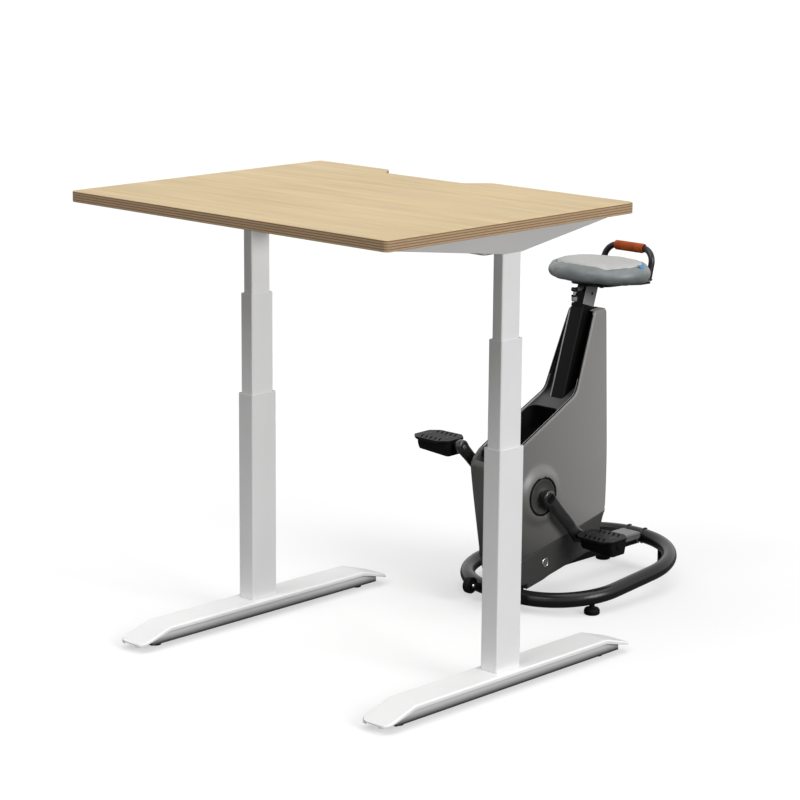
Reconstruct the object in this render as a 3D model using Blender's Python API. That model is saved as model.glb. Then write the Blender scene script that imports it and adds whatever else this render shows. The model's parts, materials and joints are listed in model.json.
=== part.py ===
"""Sit-stand desk with a compact exercise bike that rolls in under it.

The desk stands on two legs that telescope in three stages. The bike stands behind the
desk's cut-out edge and faces it. Metres, +Z up, X across the desk, +Y away from its
straight edge towards the rider.
"""

import math

import bmesh
import bpy
from mathutils import Euler, Matrix, Vector

# Desk top
DESK_WIDTH = 1.000
DESK_DEPTH = 0.800
TOP_THICKNESS = 0.025
TOP_HEIGHT = 1.0915
TOP_CORNER = 0.012
CUTOUT_LEFT = -0.262
CUTOUT_RIGHT = 0.072
CUTOUT_DEPTH = 0.051

# Legs: each stage is a rectangular steel tube, given as width across, depth, wall
LEG_X = 0.3985
LEG_Y = 0.0855
OUTER_TUBE = (0.050, 0.080)
MIDDLE_TUBE = (0.040, 0.070)
INNER_TUBE = (0.030, 0.060)
TUBE_WALL = 0.0018
TUBE_CORNER = 0.004
OUTER_TOP = 0.565
MIDDLE_TOP = 0.810
MIDDLE_LENGTH = 0.490
INNER_LENGTH = 0.500
GLIDE_HEIGHT = 0.040
SCREW_RADIUS = 0.007
SCREW_TOP = 0.500
DRIVE_TUBE_RADIUS = 0.010

# Feet
FOOT_TOP = 0.050
FOOT_WIDTH = 0.085
FOOT_FRONT_BEND = -0.3236
FOOT_REAR_BEND = 0.3335
FOOT_FRONT_TIP = -0.415
FOOT_REAR_TIP = 0.425
FOOT_TIP_HEIGHT = 0.022
CAP_SHEET = 0.003
CAP_LIP = 0.010
BEAM_WIDTH = 0.066
BEAM_BOTTOM = 0.012
BEAM_FRONT = -0.375
BEAM_REAR = 0.385
BEAM_WALL = 0.003
LEVELLER_Y = (-0.335, 0.345)

# Under the top
BRACKET_WIDTH = 0.070
BRACKET_FRONT = -0.300
BRACKET_REAR = 0.385
BRACKET_LOW = 1.0065
BRACKET_TIP = 0.016
BRACKET_SHEET = 0.0025
MOTOR_SIZE = (0.095, 0.072, 0.074)
MOTOR_WALL = 0.003
RAIL_SECTION = (0.015, 0.034)
RAIL_OFFSET = 0.050
RAIL_WALL = 0.002
HANDSET_X = 0.300
HANDSET_SIZE = (0.104, 0.045, 0.026)

# Bike: its own frame has the crank axle over the origin, X across, +Y to the rear
BIKE_X = -0.020
BIKE_Y = 0.630
CRANK_HEIGHT = 0.285
CRANK_LENGTH = 0.170
AXLE_RADIUS = 0.0085
SPINDLE_RADIUS = 0.006
CRANK_PLANE = 0.092
CRANK_ANGLE = math.radians(-45)
PEDAL_PLANE = 0.165
BODY_HALF_WIDTH = 0.066
BODY_TOP_HALF_WIDTH = 0.045
BODY_TAPER_FROM = 0.42
BODY_TAPER_TO = 0.72
BODY_CROWN = 0.0035
BODY_CROWN_MIDDLE = 0.12
BODY_CROWN_REACH = 0.2
BODY_CROWN_MOST = 0.007
SHELL_WALL = 0.003
SHELL_EDGE = 0.008
RIM_WIDTH = 0.007
BOSS_RADIUS = 0.078
BOSS_TOP_RADIUS = 0.056
BOSS_HEIGHT = 0.0105
BOSS_DEPTH = 0.014
RECESS_RADIUS = 0.0485
DISC_RADIUS = 0.0455

# Shut line between the shells and the lower skirt, seen from the side
SEAM_FRONT = (-0.160, 0.1105)
SEAM_REAR = (0.340, 0.2170)

# Storage tray: corners of its side view, and the bin sunk into its lower run
TRAY_RUN = ((-0.0895, 0.3990), (0.1827, 0.5310), (0.2550, 0.7128))
TRAY_THICKNESS = 0.003
BIN_SIZE = (0.094, 0.176)
BIN_DEPTH = 0.054
BIN_WALL = 0.0025
BIN_CORNER = 0.020
BIN_Y = 0.012

# Seat post axis, leaning back; its foot point is at the height of the collar
POST_LEAN = math.radians(18)
POST_POINT = (0.0, 0.2302, 0.722)
SEAT_TUBE = (0.040, 0.054)
SEAT_TUBE_WALL = 0.002
SEAT_TUBE_LENGTH = 0.680
TUBE_CLEARANCE = 0.0015
COLLAR_HEIGHT = 0.008
SEAT_POST = (0.030, 0.046)
POST_INSERTED = 0.300
POST_EXPOSED = 0.064
LEVER_PIVOT = (0.194, 0.7735)
SEAT_Y = 0.291
SEAT_HALF_WIDTH = 0.136
SEAT_HALF_DEPTH = 0.119
SEAT_BOTTOM = 0.783
SEAT_TOP = 0.838
SEAT_TILT = math.radians(-1.5)
PAN_THICKNESS = 0.005
HANDLE_HALF_WIDTH = 0.0775
HANDLE_BEND = 0.036
HANDLE_TOP = 0.859
HANDLE_RADIUS = 0.008
HANDLE_BACK = 0.1025
HANDLE_LEAN = 0.020
GRIP_HALF = 0.041
GRIP_RADIUS = 0.012

# Base loop
LOOP_RADIUS = 0.019
LOOP_WALL = 0.0022
PAD_RADIUS = 0.020
PAD_HEIGHT = 0.016
PAD_STEM_RADIUS = 0.007
PAD_STEM_GAP = 0.0012
SIDE_PAD_Y = 0.045
REAR_PAD_TURN = math.radians(65)
LOOP_HALF_WIDTH = 0.218
LOOP_FRONT = -0.056
LOOP_REAR = 0.474
LOOP_FRONT_CORNER = 0.172
LOOP_REAR_CORNER = 0.212
LOOP_FRONT_HEIGHT = 0.041
LOOP_REAR_HEIGHT = 0.080
WHEEL_RADIUS = 0.0215
WHEEL_X = 0.075
WHEEL_LEAD = 0.046
WHEEL_HEIGHT = 0.047
WHEEL_PIN = 0.003
CHEEK = (0.0086, 0.0118)
CHEEK_WIDTH = 0.018
DRAIN_RADIUS = 0.003
DRAIN_Y = 0.2
SPINE = (0.050, 0.030)
SPINE_BOTTOM = 0.066
COVER_FRONT = 0.362
COVER_REAR = 0.450
COVER_WIDTH = 0.062
COVER_SHEET = 0.0025
COVER_DEPTH = 0.017

# Drive
PULLEY_RADIUS = 0.080
SMALL_PULLEY_RADIUS = 0.018
FLYWHEEL_RADIUS = 0.085
FLYWHEEL_POINT = (0.168, 0.290)
BELT_PLANE = 0.031
BELT_WIDTH = 0.010

GAP = 0.0003
RUNNING = 0.00006

# The whole model is centred on the origin, standing on z = 0
REAR_REACH = BIKE_Y + LOOP_REAR + LOOP_RADIUS
CENTRE_Y = (REAR_REACH - DESK_DEPTH / 2) / 2

FINISHES = {
    "birch": ((0.70, 0.50, 0.28), 0.45, 0.0),
    "white_steel": ((0.80, 0.80, 0.80), 0.40, 0.1),
    "grey_plastic": ((0.30, 0.30, 0.30), 0.50, 0.0),
    "shell_grey": ((0.12, 0.12, 0.12), 0.45, 0.1),
    "tray_grey": ((0.06, 0.065, 0.07), 0.55, 0.0),
    "black_steel": ((0.02, 0.02, 0.02), 0.35, 0.2),
    "loop_steel": ((0.07, 0.07, 0.07), 0.30, 0.3),
    "black_plastic": ((0.015, 0.015, 0.015), 0.60, 0.0),
    "bright_steel": ((0.60, 0.60, 0.60), 0.25, 1.0),
    "cover_grey": ((0.45, 0.45, 0.45), 0.40, 0.2),
    "seat_vinyl": ((0.40, 0.43, 0.44), 0.60, 0.0),
    "tan_leather": ((0.50, 0.16, 0.05), 0.60, 0.0),
    "rubber": ((0.02, 0.02, 0.02), 0.80, 0.0),
    "belt_rubber": ((0.03, 0.03, 0.03), 0.70, 0.0),
    "cast_iron": ((0.10, 0.10, 0.11), 0.50, 0.7),
}


def clear_scene():
    for thing in list(bpy.data.objects):
        bpy.data.objects.remove(thing, do_unlink=True)


def material(name):
    known = bpy.data.materials.get(name)
    if known:
        return known
    colour, roughness, metallic = FINISHES[name]
    made = bpy.data.materials.new(name)
    made.use_nodes = True
    shader = made.node_tree.nodes["Principled BSDF"]
    shader.inputs["Base Color"].default_value = (*colour, 1.0)
    shader.inputs["Roughness"].default_value = roughness
    shader.inputs["Metallic"].default_value = metallic
    return made


def empty(name, location, parent=None, rotation=(0, 0, 0)):
    made = bpy.data.objects.new(name, None)
    bpy.context.collection.objects.link(made)
    made.location = location
    made.rotation_euler = rotation
    made.parent = parent
    return made


def part(name, shape, finish, parent, at=(0, 0, 0), rotation=(0, 0, 0)):
    """Turn a bmesh into a named object with its finish, shaded smooth over its rounds."""
    bmesh.ops.recalc_face_normals(shape, faces=shape.faces)
    mesh = bpy.data.meshes.new(name)
    shape.to_mesh(mesh)
    shape.free()
    mesh.shade_smooth()
    mesh.set_sharp_from_angle(angle=math.radians(35))
    made = bpy.data.objects.new(name, mesh)
    bpy.context.collection.objects.link(made)
    made.parent = parent
    made.location = at
    made.rotation_euler = rotation
    if finish:
        made.data.materials.append(material(finish))
    return made


def tool(name, shape, parent, at=(0, 0, 0), rotation=(0, 0, 0)):
    """A guide solid for a Boolean, left out of the model itself."""
    made = part(name, shape, None, parent, at, rotation)
    made.hide_render = True
    made.display_type = "WIRE"
    return made


def boolean(target, operand, operation):
    step = target.modifiers.new(operand.name, "BOOLEAN")
    step.operation = operation
    step.object = operand
    step.solver = "EXACT"


def cut(target, operand):
    boolean(target, operand, "DIFFERENCE")


def join(target, operand):
    boolean(target, operand, "UNION")


def soften(target, width, segments=2, angle=40):
    step = target.modifiers.new("soft_edges", "BEVEL")
    step.width = width
    step.segments = segments
    step.limit_method = "ANGLE"
    step.angle_limit = math.radians(angle)
    step.harden_normals = False


def rounded_rectangle(width, depth, radius, steps=3, centre=(0.0, 0.0)):
    corners = ((1, 1, 0), (-1, 1, 90), (-1, -1, 180), (1, -1, 270))
    points = []
    for side_x, side_y, start in corners:
        middle_x = centre[0] + side_x * (width / 2 - radius)
        middle_y = centre[1] + side_y * (depth / 2 - radius)
        for step in range(steps + 1):
            turn = math.radians(start + 90 * step / steps)
            points.append((middle_x + radius * math.cos(turn), middle_y + radius * math.sin(turn)))
    return points


def circle(radius, steps, centre=(0.0, 0.0)):
    turns = [2 * math.pi * step / steps for step in range(steps)]
    return [(centre[0] + radius * math.cos(t), centre[1] + radius * math.sin(t)) for t in turns]


def filleted(corners, steps=4):
    """Round each corner (u, v, radius) of a closed outline with an arc."""
    points = []
    count = len(corners)
    for index, (u, v, radius) in enumerate(corners):
        here = Vector((u, v))
        before = Vector(corners[index - 1][:2]) - here
        after = Vector(corners[(index + 1) % count][:2]) - here
        if radius <= 0:
            points.append((u, v))
            continue
        half = before.angle(after) / 2
        reach = radius / math.tan(half)
        centre = here + (before.normalized() + after.normalized()).normalized() * radius / math.sin(half)
        start = here + before.normalized() * reach - centre
        end = here + after.normalized() * reach - centre
        sweep = start.angle_signed(end)
        for step in range(steps + 1):
            spoke = start.copy()
            spoke.rotate(Matrix.Rotation(-sweep * step / steps, 2))
            points.append((centre.x + spoke.x, centre.y + spoke.y))
    return points


def bar_outline(reach, width, rounding=0.008):
    """Outline of a flat bar from a little before the origin to a point, round at its near end."""
    along = reach.normalized()
    across = Vector((-along.y, along.x)) * width / 2
    back = along * -0.5 * width
    near, far = (back - across, back + across), (reach - across, reach + across)
    corners = ((near[0], rounding), (far[0], 0), (far[1], 0), (near[1], rounding))
    return filleted([(corner.x, corner.y, radius) for corner, radius in corners])


def inset(outline, distance):
    """Move a counter-clockwise outline inwards by a distance, corner by corner."""
    moved = []
    count = len(outline)
    for index, point in enumerate(outline):
        here = Vector(point)
        along = (here - Vector(outline[index - 1])).normalized()
        onward = (Vector(outline[(index + 1) % count]) - here).normalized()
        normal = Vector((-along.y, along.x)) + Vector((-onward.y, onward.x))
        normal.normalize()
        stretch = max(0.5, normal.dot(Vector((-onward.y, onward.x))))
        moved.append(tuple(here + normal * distance / stretch))
    return moved


def spot(axis, u, v, w):
    """Place an outline point (u, v) at w along the axis it is extruded on."""
    if axis == "X":
        return Vector((w, u, v))
    if axis == "Y":
        return Vector((u, w, v))
    return Vector((u, v, w))


def prism(outline, low, high, axis="Z", shape=None):
    shape = shape or bmesh.new()
    base = shape.faces.new([shape.verts.new(spot(axis, u, v, low)) for u, v in outline])
    grown = bmesh.ops.extrude_face_region(shape, geom=[base])
    verts = [item for item in grown["geom"] if isinstance(item, bmesh.types.BMVert)]
    bmesh.ops.translate(shape, verts=verts, vec=spot(axis, 0, 0, high - low))
    return shape


def loft(rings, closed=False, shape=None):
    """Skin rings of equal count; the ends are capped unless the loft closes on itself."""
    shape = shape or bmesh.new()
    made = [[shape.verts.new(point) for point in ring] for ring in rings]
    pairs = list(zip(made, made[1:]))
    if closed:
        pairs.append((made[-1], made[0]))
    for lower, upper in pairs:
        for index in range(len(lower)):
            following = (index + 1) % len(lower)
            shape.faces.new((lower[index], lower[following], upper[following], upper[index]))
    if not closed:
        shape.faces.new(list(reversed(made[0])))
        shape.faces.new(made[-1])
    return shape


def hollow(outer, inner, low, high, axis="Z", shape=None):
    """A straight tube between two outlines of equal count."""
    rings = [
        [spot(axis, u, v, low) for u, v in outer],
        [spot(axis, u, v, high) for u, v in outer],
        [spot(axis, u, v, high) for u, v in inner],
        [spot(axis, u, v, low) for u, v in inner],
    ]
    return loft(rings, closed=True, shape=shape)


def box(size, centre=(0, 0, 0), shape=None):
    shape = shape or bmesh.new()
    place = Matrix.Translation(centre) @ Matrix.Diagonal((*size, 1))
    bmesh.ops.create_cube(shape, size=1.0, matrix=place)
    return shape


def cylinder(radius, low, high, axis="Z", steps=24, centre=(0.0, 0.0), shape=None):
    return prism(circle(radius, steps, centre), low, high, axis, shape)


def turned(profile, axis="X", steps=24, shape=None):
    """Spin a closed (distance along, radius) profile right round the axis."""
    rings = []
    for step in range(steps):
        turn = 2 * math.pi * step / steps
        ring = []
        for along, radius in profile:
            ring.append(spot(axis, radius * math.cos(turn), radius * math.sin(turn), along))
        rings.append(ring)
    return loft(rings, closed=True, shape=shape)


def swept(points, radius, closed=False, sides=3):
    """A bent round bar: a curve with a bevel and filled ends, turned into a mesh."""
    curve = bpy.data.curves.new("path", "CURVE")
    curve.dimensions = "3D"
    curve.bevel_depth = radius
    curve.bevel_resolution = sides
    curve.use_fill_caps = not closed
    line = curve.splines.new("POLY")
    line.points.add(len(points) - 1)
    for slot, point in zip(line.points, points):
        slot.co = (*point, 1.0)
    line.use_cyclic_u = closed
    holder = bpy.data.objects.new("path", curve)
    shape = bmesh.new()
    shape.from_mesh(bpy.data.meshes.new_from_object(holder))
    bpy.data.objects.remove(holder, do_unlink=True)
    bmesh.ops.remove_doubles(shape, verts=shape.verts, dist=0.00001)
    return shape


def bore_radius(shaft, steps):
    """Corner radius of a faceted bore whose flats clear a shaft by the running clearance."""
    return (shaft + RUNNING) / math.cos(math.pi / steps)


# Desk

def desktop(top):
    """Plywood top with a shallow cut-out in its rear edge."""
    half_width, half_depth = DESK_WIDTH / 2, DESK_DEPTH / 2
    inner_edge = half_depth - CUTOUT_DEPTH
    outline = filleted([
        (-half_width, -half_depth, TOP_CORNER),
        (half_width, -half_depth, TOP_CORNER),
        (half_width, half_depth, TOP_CORNER),
        (CUTOUT_RIGHT, half_depth, 0.030),
        (CUTOUT_RIGHT - 0.045, inner_edge, 0.030),
        (CUTOUT_LEFT + 0.038, inner_edge, 0.020),
        (CUTOUT_LEFT, half_depth, 0.012),
        (-half_width, half_depth, TOP_CORNER),
    ])
    board = part("desktop", prism(outline, TOP_HEIGHT - TOP_THICKNESS, TOP_HEIGHT), "birch", top)
    soften(board, 0.0012, 1)


def column_shape(size, low, high):
    width, depth = size
    bore = (width - 2 * TUBE_WALL, depth - 2 * TUBE_WALL)
    outer = rounded_rectangle(width, depth, TUBE_CORNER)
    inner = rounded_rectangle(*bore, TUBE_CORNER - TUBE_WALL)
    return hollow(outer, inner, low, high)


def glide_shape(around, inside, low, high):
    """Plastic ring between two stages, with a small gap to each."""
    outside = (around[0] - 2 * TUBE_WALL - 2 * GAP, around[1] - 2 * TUBE_WALL - 2 * GAP)
    outer = rounded_rectangle(*outside, 0.002)
    inner = rounded_rectangle(inside[0] + 2 * GAP, inside[1] + 2 * GAP, TUBE_CORNER)
    return hollow(outer, inner, low, high)


def columns(stand, middle, top):
    """Three telescoping stages on each side, with slide rings, a lead screw and a drive tube inside."""
    foot_of_column = FOOT_TOP + GAP
    head_of_column = TOP_HEIGHT - TOP_THICKNESS - BRACKET_SHEET - 2 * GAP
    middle_low, inner_low = MIDDLE_TOP - MIDDLE_LENGTH, head_of_column - INNER_LENGTH
    for side, x in (("left", -LEG_X), ("right", LEG_X)):
        at = (x, LEG_Y, 0)
        outer = column_shape(OUTER_TUBE, foot_of_column, OUTER_TOP)
        part(f"{side}_outer_column", outer, "white_steel", stand, at)
        part(f"{side}_middle_column", column_shape(MIDDLE_TUBE, middle_low, MIDDLE_TOP), "white_steel",
             middle, at)
        inner = part(f"{side}_inner_column", column_shape(INNER_TUBE, inner_low, head_of_column),
                     "white_steel", top, at)
        nut = box((INNER_TUBE[0] - TUBE_WALL, INNER_TUBE[1] - TUBE_WALL, 0.024), (0, 0, inner_low + 0.014))
        join(inner, tool(f"{side}_nut", nut, top, at))
        nut_bore = cylinder(DRIVE_TUBE_RADIUS + 0.0005, inner_low - 0.01, inner_low + 0.05, steps=20)
        cut(inner, tool(f"{side}_nut_bore", nut_bore, top, at))
        glide = glide_shape(OUTER_TUBE, MIDDLE_TUBE, OUTER_TOP - GLIDE_HEIGHT, OUTER_TOP - 0.001)
        part(f"{side}_outer_glide", glide, "grey_plastic", stand, at)
        glide = glide_shape(MIDDLE_TUBE, INNER_TUBE, MIDDLE_TOP - GLIDE_HEIGHT, MIDDLE_TOP - 0.001)
        part(f"{side}_middle_glide", glide, "grey_plastic", middle, at)
        screw = cylinder(SCREW_RADIUS, foot_of_column, SCREW_TOP, steps=16)
        part(f"{side}_lead_screw", screw, "bright_steel", stand, at)
        tube_wall = circle(DRIVE_TUBE_RADIUS, 20), circle(SCREW_RADIUS + 0.0005, 20)
        drive_tube = hollow(*tube_wall, middle_low + 0.010, MIDDLE_TOP - 0.010)
        part(f"{side}_drive_tube", drive_tube, "bright_steel", middle, at)


def cap_section(y, height, half_width, lip):
    """One station of the folded foot plate: an upside-down channel with round folds."""
    fold = 0.003
    under = height - CAP_SHEET
    inner = half_width - CAP_SHEET
    outside = [
        (-half_width, height - lip), (-half_width, height - fold), (-half_width + fold, height),
        (half_width - fold, height), (half_width, height - fold), (half_width, height - lip),
    ]
    inside = [(inner, height - lip), (inner, under), (-inner, under), (-inner, height - lip)]
    return [Vector((x, y, z)) for x, z in outside + inside]


def foot_cap_shape():
    """Folded steel plate whose ends slope down to rounded tips."""
    half = FOOT_WIDTH / 2
    corner = 0.022
    stations = []
    for tip, bend, sign in ((FOOT_FRONT_TIP, FOOT_FRONT_BEND, 1), (FOOT_REAR_TIP, FOOT_REAR_BEND, -1)):
        slope = (FOOT_TOP - FOOT_TIP_HEIGHT) / abs(bend - tip)
        side = []
        for turn in (0, 30, 60, 90):
            back = corner * (1 - math.cos(math.radians(turn)))
            narrow = corner * (1 - math.sin(math.radians(turn)))
            side.append((tip + sign * back, FOOT_TIP_HEIGHT + slope * back, half - narrow, 0.007))
        side.sort(key=lambda station: sign * station[0])
        side.append((bend - sign * 0.004, FOOT_TOP - slope * 0.004, half, CAP_LIP))
        side.append((bend + sign * 0.004, FOOT_TOP, half, CAP_LIP))
        stations.extend(side if sign > 0 else reversed(side))
    return loft([cap_section(*station) for station in stations])


def feet(stand, levelling):
    """Channel beam, folded cap plate and two threaded levelling pads under each leg."""
    for side, x in (("left", -LEG_X), ("right", LEG_X)):
        at = (x, LEG_Y, 0)
        part(f"{side}_foot_cap", foot_cap_shape(), "white_steel", stand, at)
        half = BEAM_WIDTH / 2
        high = FOOT_TOP - CAP_SHEET - GAP
        inside = half - BEAM_WALL
        floor = BEAM_BOTTOM + BEAM_WALL
        channel = [
            (-half, BEAM_BOTTOM), (half, BEAM_BOTTOM), (half, high), (inside, high),
            (inside, floor), (-inside, floor), (-inside, high), (-half, high),
        ]
        channel_bar = prism(channel, BEAM_FRONT, BEAM_REAR, "Y")
        beam = part(f"{side}_foot_beam", channel_bar, "white_steel", stand, at)
        under = CAP_SHEET + 0.0030
        ends = (("front", FOOT_FRONT_TIP, FOOT_FRONT_BEND), ("rear", FOOT_REAR_TIP, FOOT_REAR_BEND))
        for end, tip, bend in ends:
            start = bend - math.copysign(0.030, tip)
            outline = [(start, FOOT_TOP - under), (tip, FOOT_TIP_HEIGHT - under), (tip, 0.1), (start, 0.1)]
            cut(beam, tool(f"{side}_{end}_mitre", prism(outline, -0.1, 0.1, "X"), stand, at))
        for end, y in zip(("front", "rear"), LEVELLER_Y):
            hole = cylinder(0.0045, BEAM_BOTTOM - 0.01, floor + 0.004, steps=16)
            cut(beam, tool(f"{side}_{end}_hole", hole, stand, (x, LEG_Y + y, 0)))
            at_pad = (x, LEG_Y + y, 0)
            disc = cylinder(0.013, 0.0, 0.007)
            foot = part(f"{side}_{end}_leveller", disc, "rubber", levelling, at_pad)
            nut = cylinder(0.0085, 0.0065, 0.0115, steps=6)
            join(foot, tool(f"{side}_{end}_nut", nut, levelling, at_pad))
            stem = cylinder(0.004, 0.004, 0.0175, steps=16)
            join(foot, tool(f"{side}_{end}_stem", stem, levelling, at_pad))


def bracket_outline(shrink):
    """Side view of the winged bracket, deepest at the column."""
    high = TOP_HEIGHT - TOP_THICKNESS - GAP - shrink
    below = 0.05 if shrink else 0.0
    return [
        (BRACKET_FRONT + shrink, high), (BRACKET_FRONT + shrink, high - BRACKET_TIP - below),
        (LEG_Y - 0.05, BRACKET_LOW - below), (LEG_Y + 0.01, BRACKET_LOW - below),
        (BRACKET_REAR - shrink, high - BRACKET_TIP - below), (BRACKET_REAR - shrink, high),
    ]


def under_top(top):
    """Winged side brackets, drive housings and the crossbeam."""
    high = TOP_HEIGHT - TOP_THICKNESS - GAP
    for side, sign in (("left", -1), ("right", 1)):
        x = sign * LEG_X
        half = BRACKET_WIDTH / 2
        folded = prism(bracket_outline(0), -half, half, "X")
        bracket = part(f"{side}_bracket", folded, "white_steel", top, (x, 0, 0))
        room = half - BRACKET_SHEET
        cut(bracket, tool(f"{side}_bracket_room", prism(bracket_outline(BRACKET_SHEET), -room, room, "X"),
                          top, (x, 0, 0)))
        width, depth, height = MOTOR_SIZE
        inner_face = LEG_X - half - GAP
        motor_outline = rounded_rectangle(width, depth, 0.008, 3)
        motor = part(f"{side}_motor", prism(motor_outline, high - height, high), "white_steel", top,
                     (sign * (inner_face - width / 2), LEG_Y, 0))
        soften(motor, 0.004, 2, 60)
        inside = rounded_rectangle(width - 2 * MOTOR_WALL, depth - 2 * MOTOR_WALL, 0.005)
        room = prism(inside, high - height + MOTOR_WALL, high + 0.01)
        cut(motor, tool(f"{side}_motor_room", room, top, (sign * (inner_face - width / 2), LEG_Y, 0)))
    crossbeam(top, high)


def crossbeam(top, high):
    """Two box rails between the brackets, welded together by cross plates."""
    rail_width, rail_height = RAIL_SECTION
    length = 2 * (LEG_X - BRACKET_WIDTH / 2 - GAP)
    rails = bmesh.new()
    bore = (rail_width - 2 * RAIL_WALL, rail_height - 2 * RAIL_WALL)
    for y in (LEG_Y - RAIL_OFFSET, LEG_Y + RAIL_OFFSET):
        centre = (y, high - rail_height / 2)
        outer = rounded_rectangle(rail_width, rail_height, 0.002, 2, centre)
        inner = rounded_rectangle(*bore, 0.001, 2, centre)
        hollow(outer, inner, -length / 2, length / 2, "X", rails)
    beam = part("crossbeam", rails, "white_steel", top)
    for index, x in enumerate((-0.21, 0.21)):
        plate = box((0.050, 2 * RAIL_OFFSET, 0.0025), (x, LEG_Y, high - 0.006))
        join(beam, tool(f"cross_plate_{index}", plate, top))


def handset(top):
    """Height control under the rear edge, with a sprung up-and-down rocker facing the user."""
    high = TOP_HEIGHT - TOP_THICKNESS - GAP
    width, depth, height = HANDSET_SIZE
    front = DESK_DEPTH / 2 - 0.004
    level = high - height / 2
    at = (HANDSET_X, 0, 0)
    outline = rounded_rectangle(width, height, 0.004, 3, (0, level))
    case = part("handset", prism(outline, front - depth, front, "Y"), "black_plastic", top, at)
    pocket = prism(rounded_rectangle(0.0332, 0.0186, 0.001, 2, (0, level)), front - 0.0085, front + 0.01, "Y")
    cut(case, tool("rocker_pocket", pocket, top, at))
    pivot = empty("rocker_pivot", (HANDSET_X, front - 0.0025, level), top)
    rocker = [(-0.0035, -0.0055), (0.0040, -0.0082), (0.0025, 0.0), (0.0040, 0.0082), (-0.0035, 0.0055)]
    part("lift_rocker", prism(rocker, -0.0160, 0.0160, "X"), "grey_plastic", pivot)


# Bike

def body_outline():
    """Side view (y, z) of the whole housing, counter-clockwise from the lower front."""
    return filleted([
        (-0.048, 0.055, 0.014), (0.195, 0.100, 0.030), (0.233, 0.097, 0.020), (0.270, 0.215, 0.100),
        (0.2735, 0.724, 0.012), (0.2255, 0.720, 0.012), (0.146, 0.520, 0.040), (-0.095, 0.4037, 0.030),
        (-0.129, 0.372, 0.030), (-0.076, 0.088, 0.025),
    ], 4)


def seam_height(y):
    """Height of the shut line between the shells and the lower skirt."""
    share = (y - SEAM_FRONT[0]) / (SEAM_REAR[0] - SEAM_FRONT[0])
    return SEAM_FRONT[1] + share * (SEAM_REAR[1] - SEAM_FRONT[1])


def half_width(y, z):
    """The housing narrows up the riser and is slightly crowned from front to rear."""
    share = min(1.0, max(0.0, (z - BODY_TAPER_FROM) / (BODY_TAPER_TO - BODY_TAPER_FROM)))
    width = BODY_HALF_WIDTH + (BODY_TOP_HALF_WIDTH - BODY_HALF_WIDTH) * share
    crown = BODY_CROWN * ((y - BODY_CROWN_MIDDLE) / BODY_CROWN_REACH) ** 2
    return width - min(BODY_CROWN_MOST, crown)


def spread(shape):
    """Scale a flat half housing, built to the full half width, to its local width."""
    rise = (BODY_TAPER_TO - BODY_TAPER_FROM) / 4
    cuts = [((0, 0, BODY_TAPER_FROM + rise * level), (0, 0, 1)) for level in range(4)]
    cuts += [((0, 0.06 * level - 0.12, 0), (0, 1, 0)) for level in range(1, 7)]
    for point, normal in cuts:
        cutting = list(shape.verts) + list(shape.edges) + list(shape.faces)
        bmesh.ops.bisect_plane(shape, geom=cutting, plane_co=point, plane_no=normal)
    for vert in shape.verts:
        vert.co.x *= half_width(vert.co.y, vert.co.z) / BODY_HALF_WIDTH


def shell_shape(sign):
    """Half of the moulded housing: an open pan whose rim meets its twin on the middle plane."""
    outline = body_outline()
    wall, edge, width = SHELL_WALL, SHELL_EDGE, BODY_HALF_WIDTH
    seam = 0.0002
    steps = ((0, seam), (0, width - edge), (0.3 * edge, width - 0.3 * edge), (edge, width))
    inner_edge = 0.5 * edge
    hollow_steps = (
        (wall + inner_edge, width - wall), (wall, width - wall - inner_edge), (wall, seam),
    )
    rings = []
    for depth, x in steps + hollow_steps:
        rings.append([Vector((sign * x, y, z)) for y, z in inset(outline, depth)])
    shape = bmesh.new()
    made = [[shape.verts.new(point) for point in ring] for ring in rings]
    for lower, upper in list(zip(made, made[1:])) + [(made[-1], made[0])]:
        if lower is made[len(steps) - 1]:
            continue
        for index in range(len(lower)):
            following = (index + 1) % len(lower)
            shape.faces.new((lower[index], lower[following], upper[following], upper[index]))
    shape.faces.new(made[len(steps) - 1])
    shape.faces.new(made[len(steps)])
    spread(shape)
    return shape


def rim_path():
    """Corners (y, z) of the open upper edge, from the nose up the tray and the riser."""
    return [(-0.118, 0.385), (-0.095, 0.4037), (0.146, 0.520), (0.2255, 0.720)]


def band(offset_out, offset_in, extend=0.0):
    """Strip along the rim path between two offsets; positive offsets lie inside the housing."""
    corners = rim_path()
    first = Vector(corners[1]) - Vector(corners[0])
    last = Vector(corners[-1]) - Vector(corners[-2])
    points = [Vector(corners[0]) - first.normalized() * extend] + [Vector(c) for c in corners[1:-1]]
    points.append(Vector(corners[-1]) + last.normalized() * extend)
    sides = []
    for offset in (offset_out, offset_in):
        moved = []
        for index, point in enumerate(points):
            normals = []
            if index > 0:
                leg = (point - points[index - 1]).normalized()
                normals.append(Vector((leg.y, -leg.x)))
            if index < len(points) - 1:
                leg = (points[index + 1] - point).normalized()
                normals.append(Vector((leg.y, -leg.x)))
            normal = sum(normals, Vector((0, 0))).normalized()
            stretch = normal.dot(normals[0])
            moved.append(tuple(point + normal * offset / stretch))
        sides.append(moved)
    return sides[0] + sides[1][::-1]


def spread_prism(outline, half):
    """Prism across the housing whose half width follows the housing's own, less a margin."""
    shape = prism(outline, -half, half, "X")
    spread(shape)
    return shape


def tube_passage():
    """Outline of the hole that the seat tube passes through in the housing."""
    return rounded_rectangle(SEAT_TUBE[0] + 2 * TUBE_CLEARANCE, SEAT_TUBE[1] + 2 * TUBE_CLEARANCE, 0.006)


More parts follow.
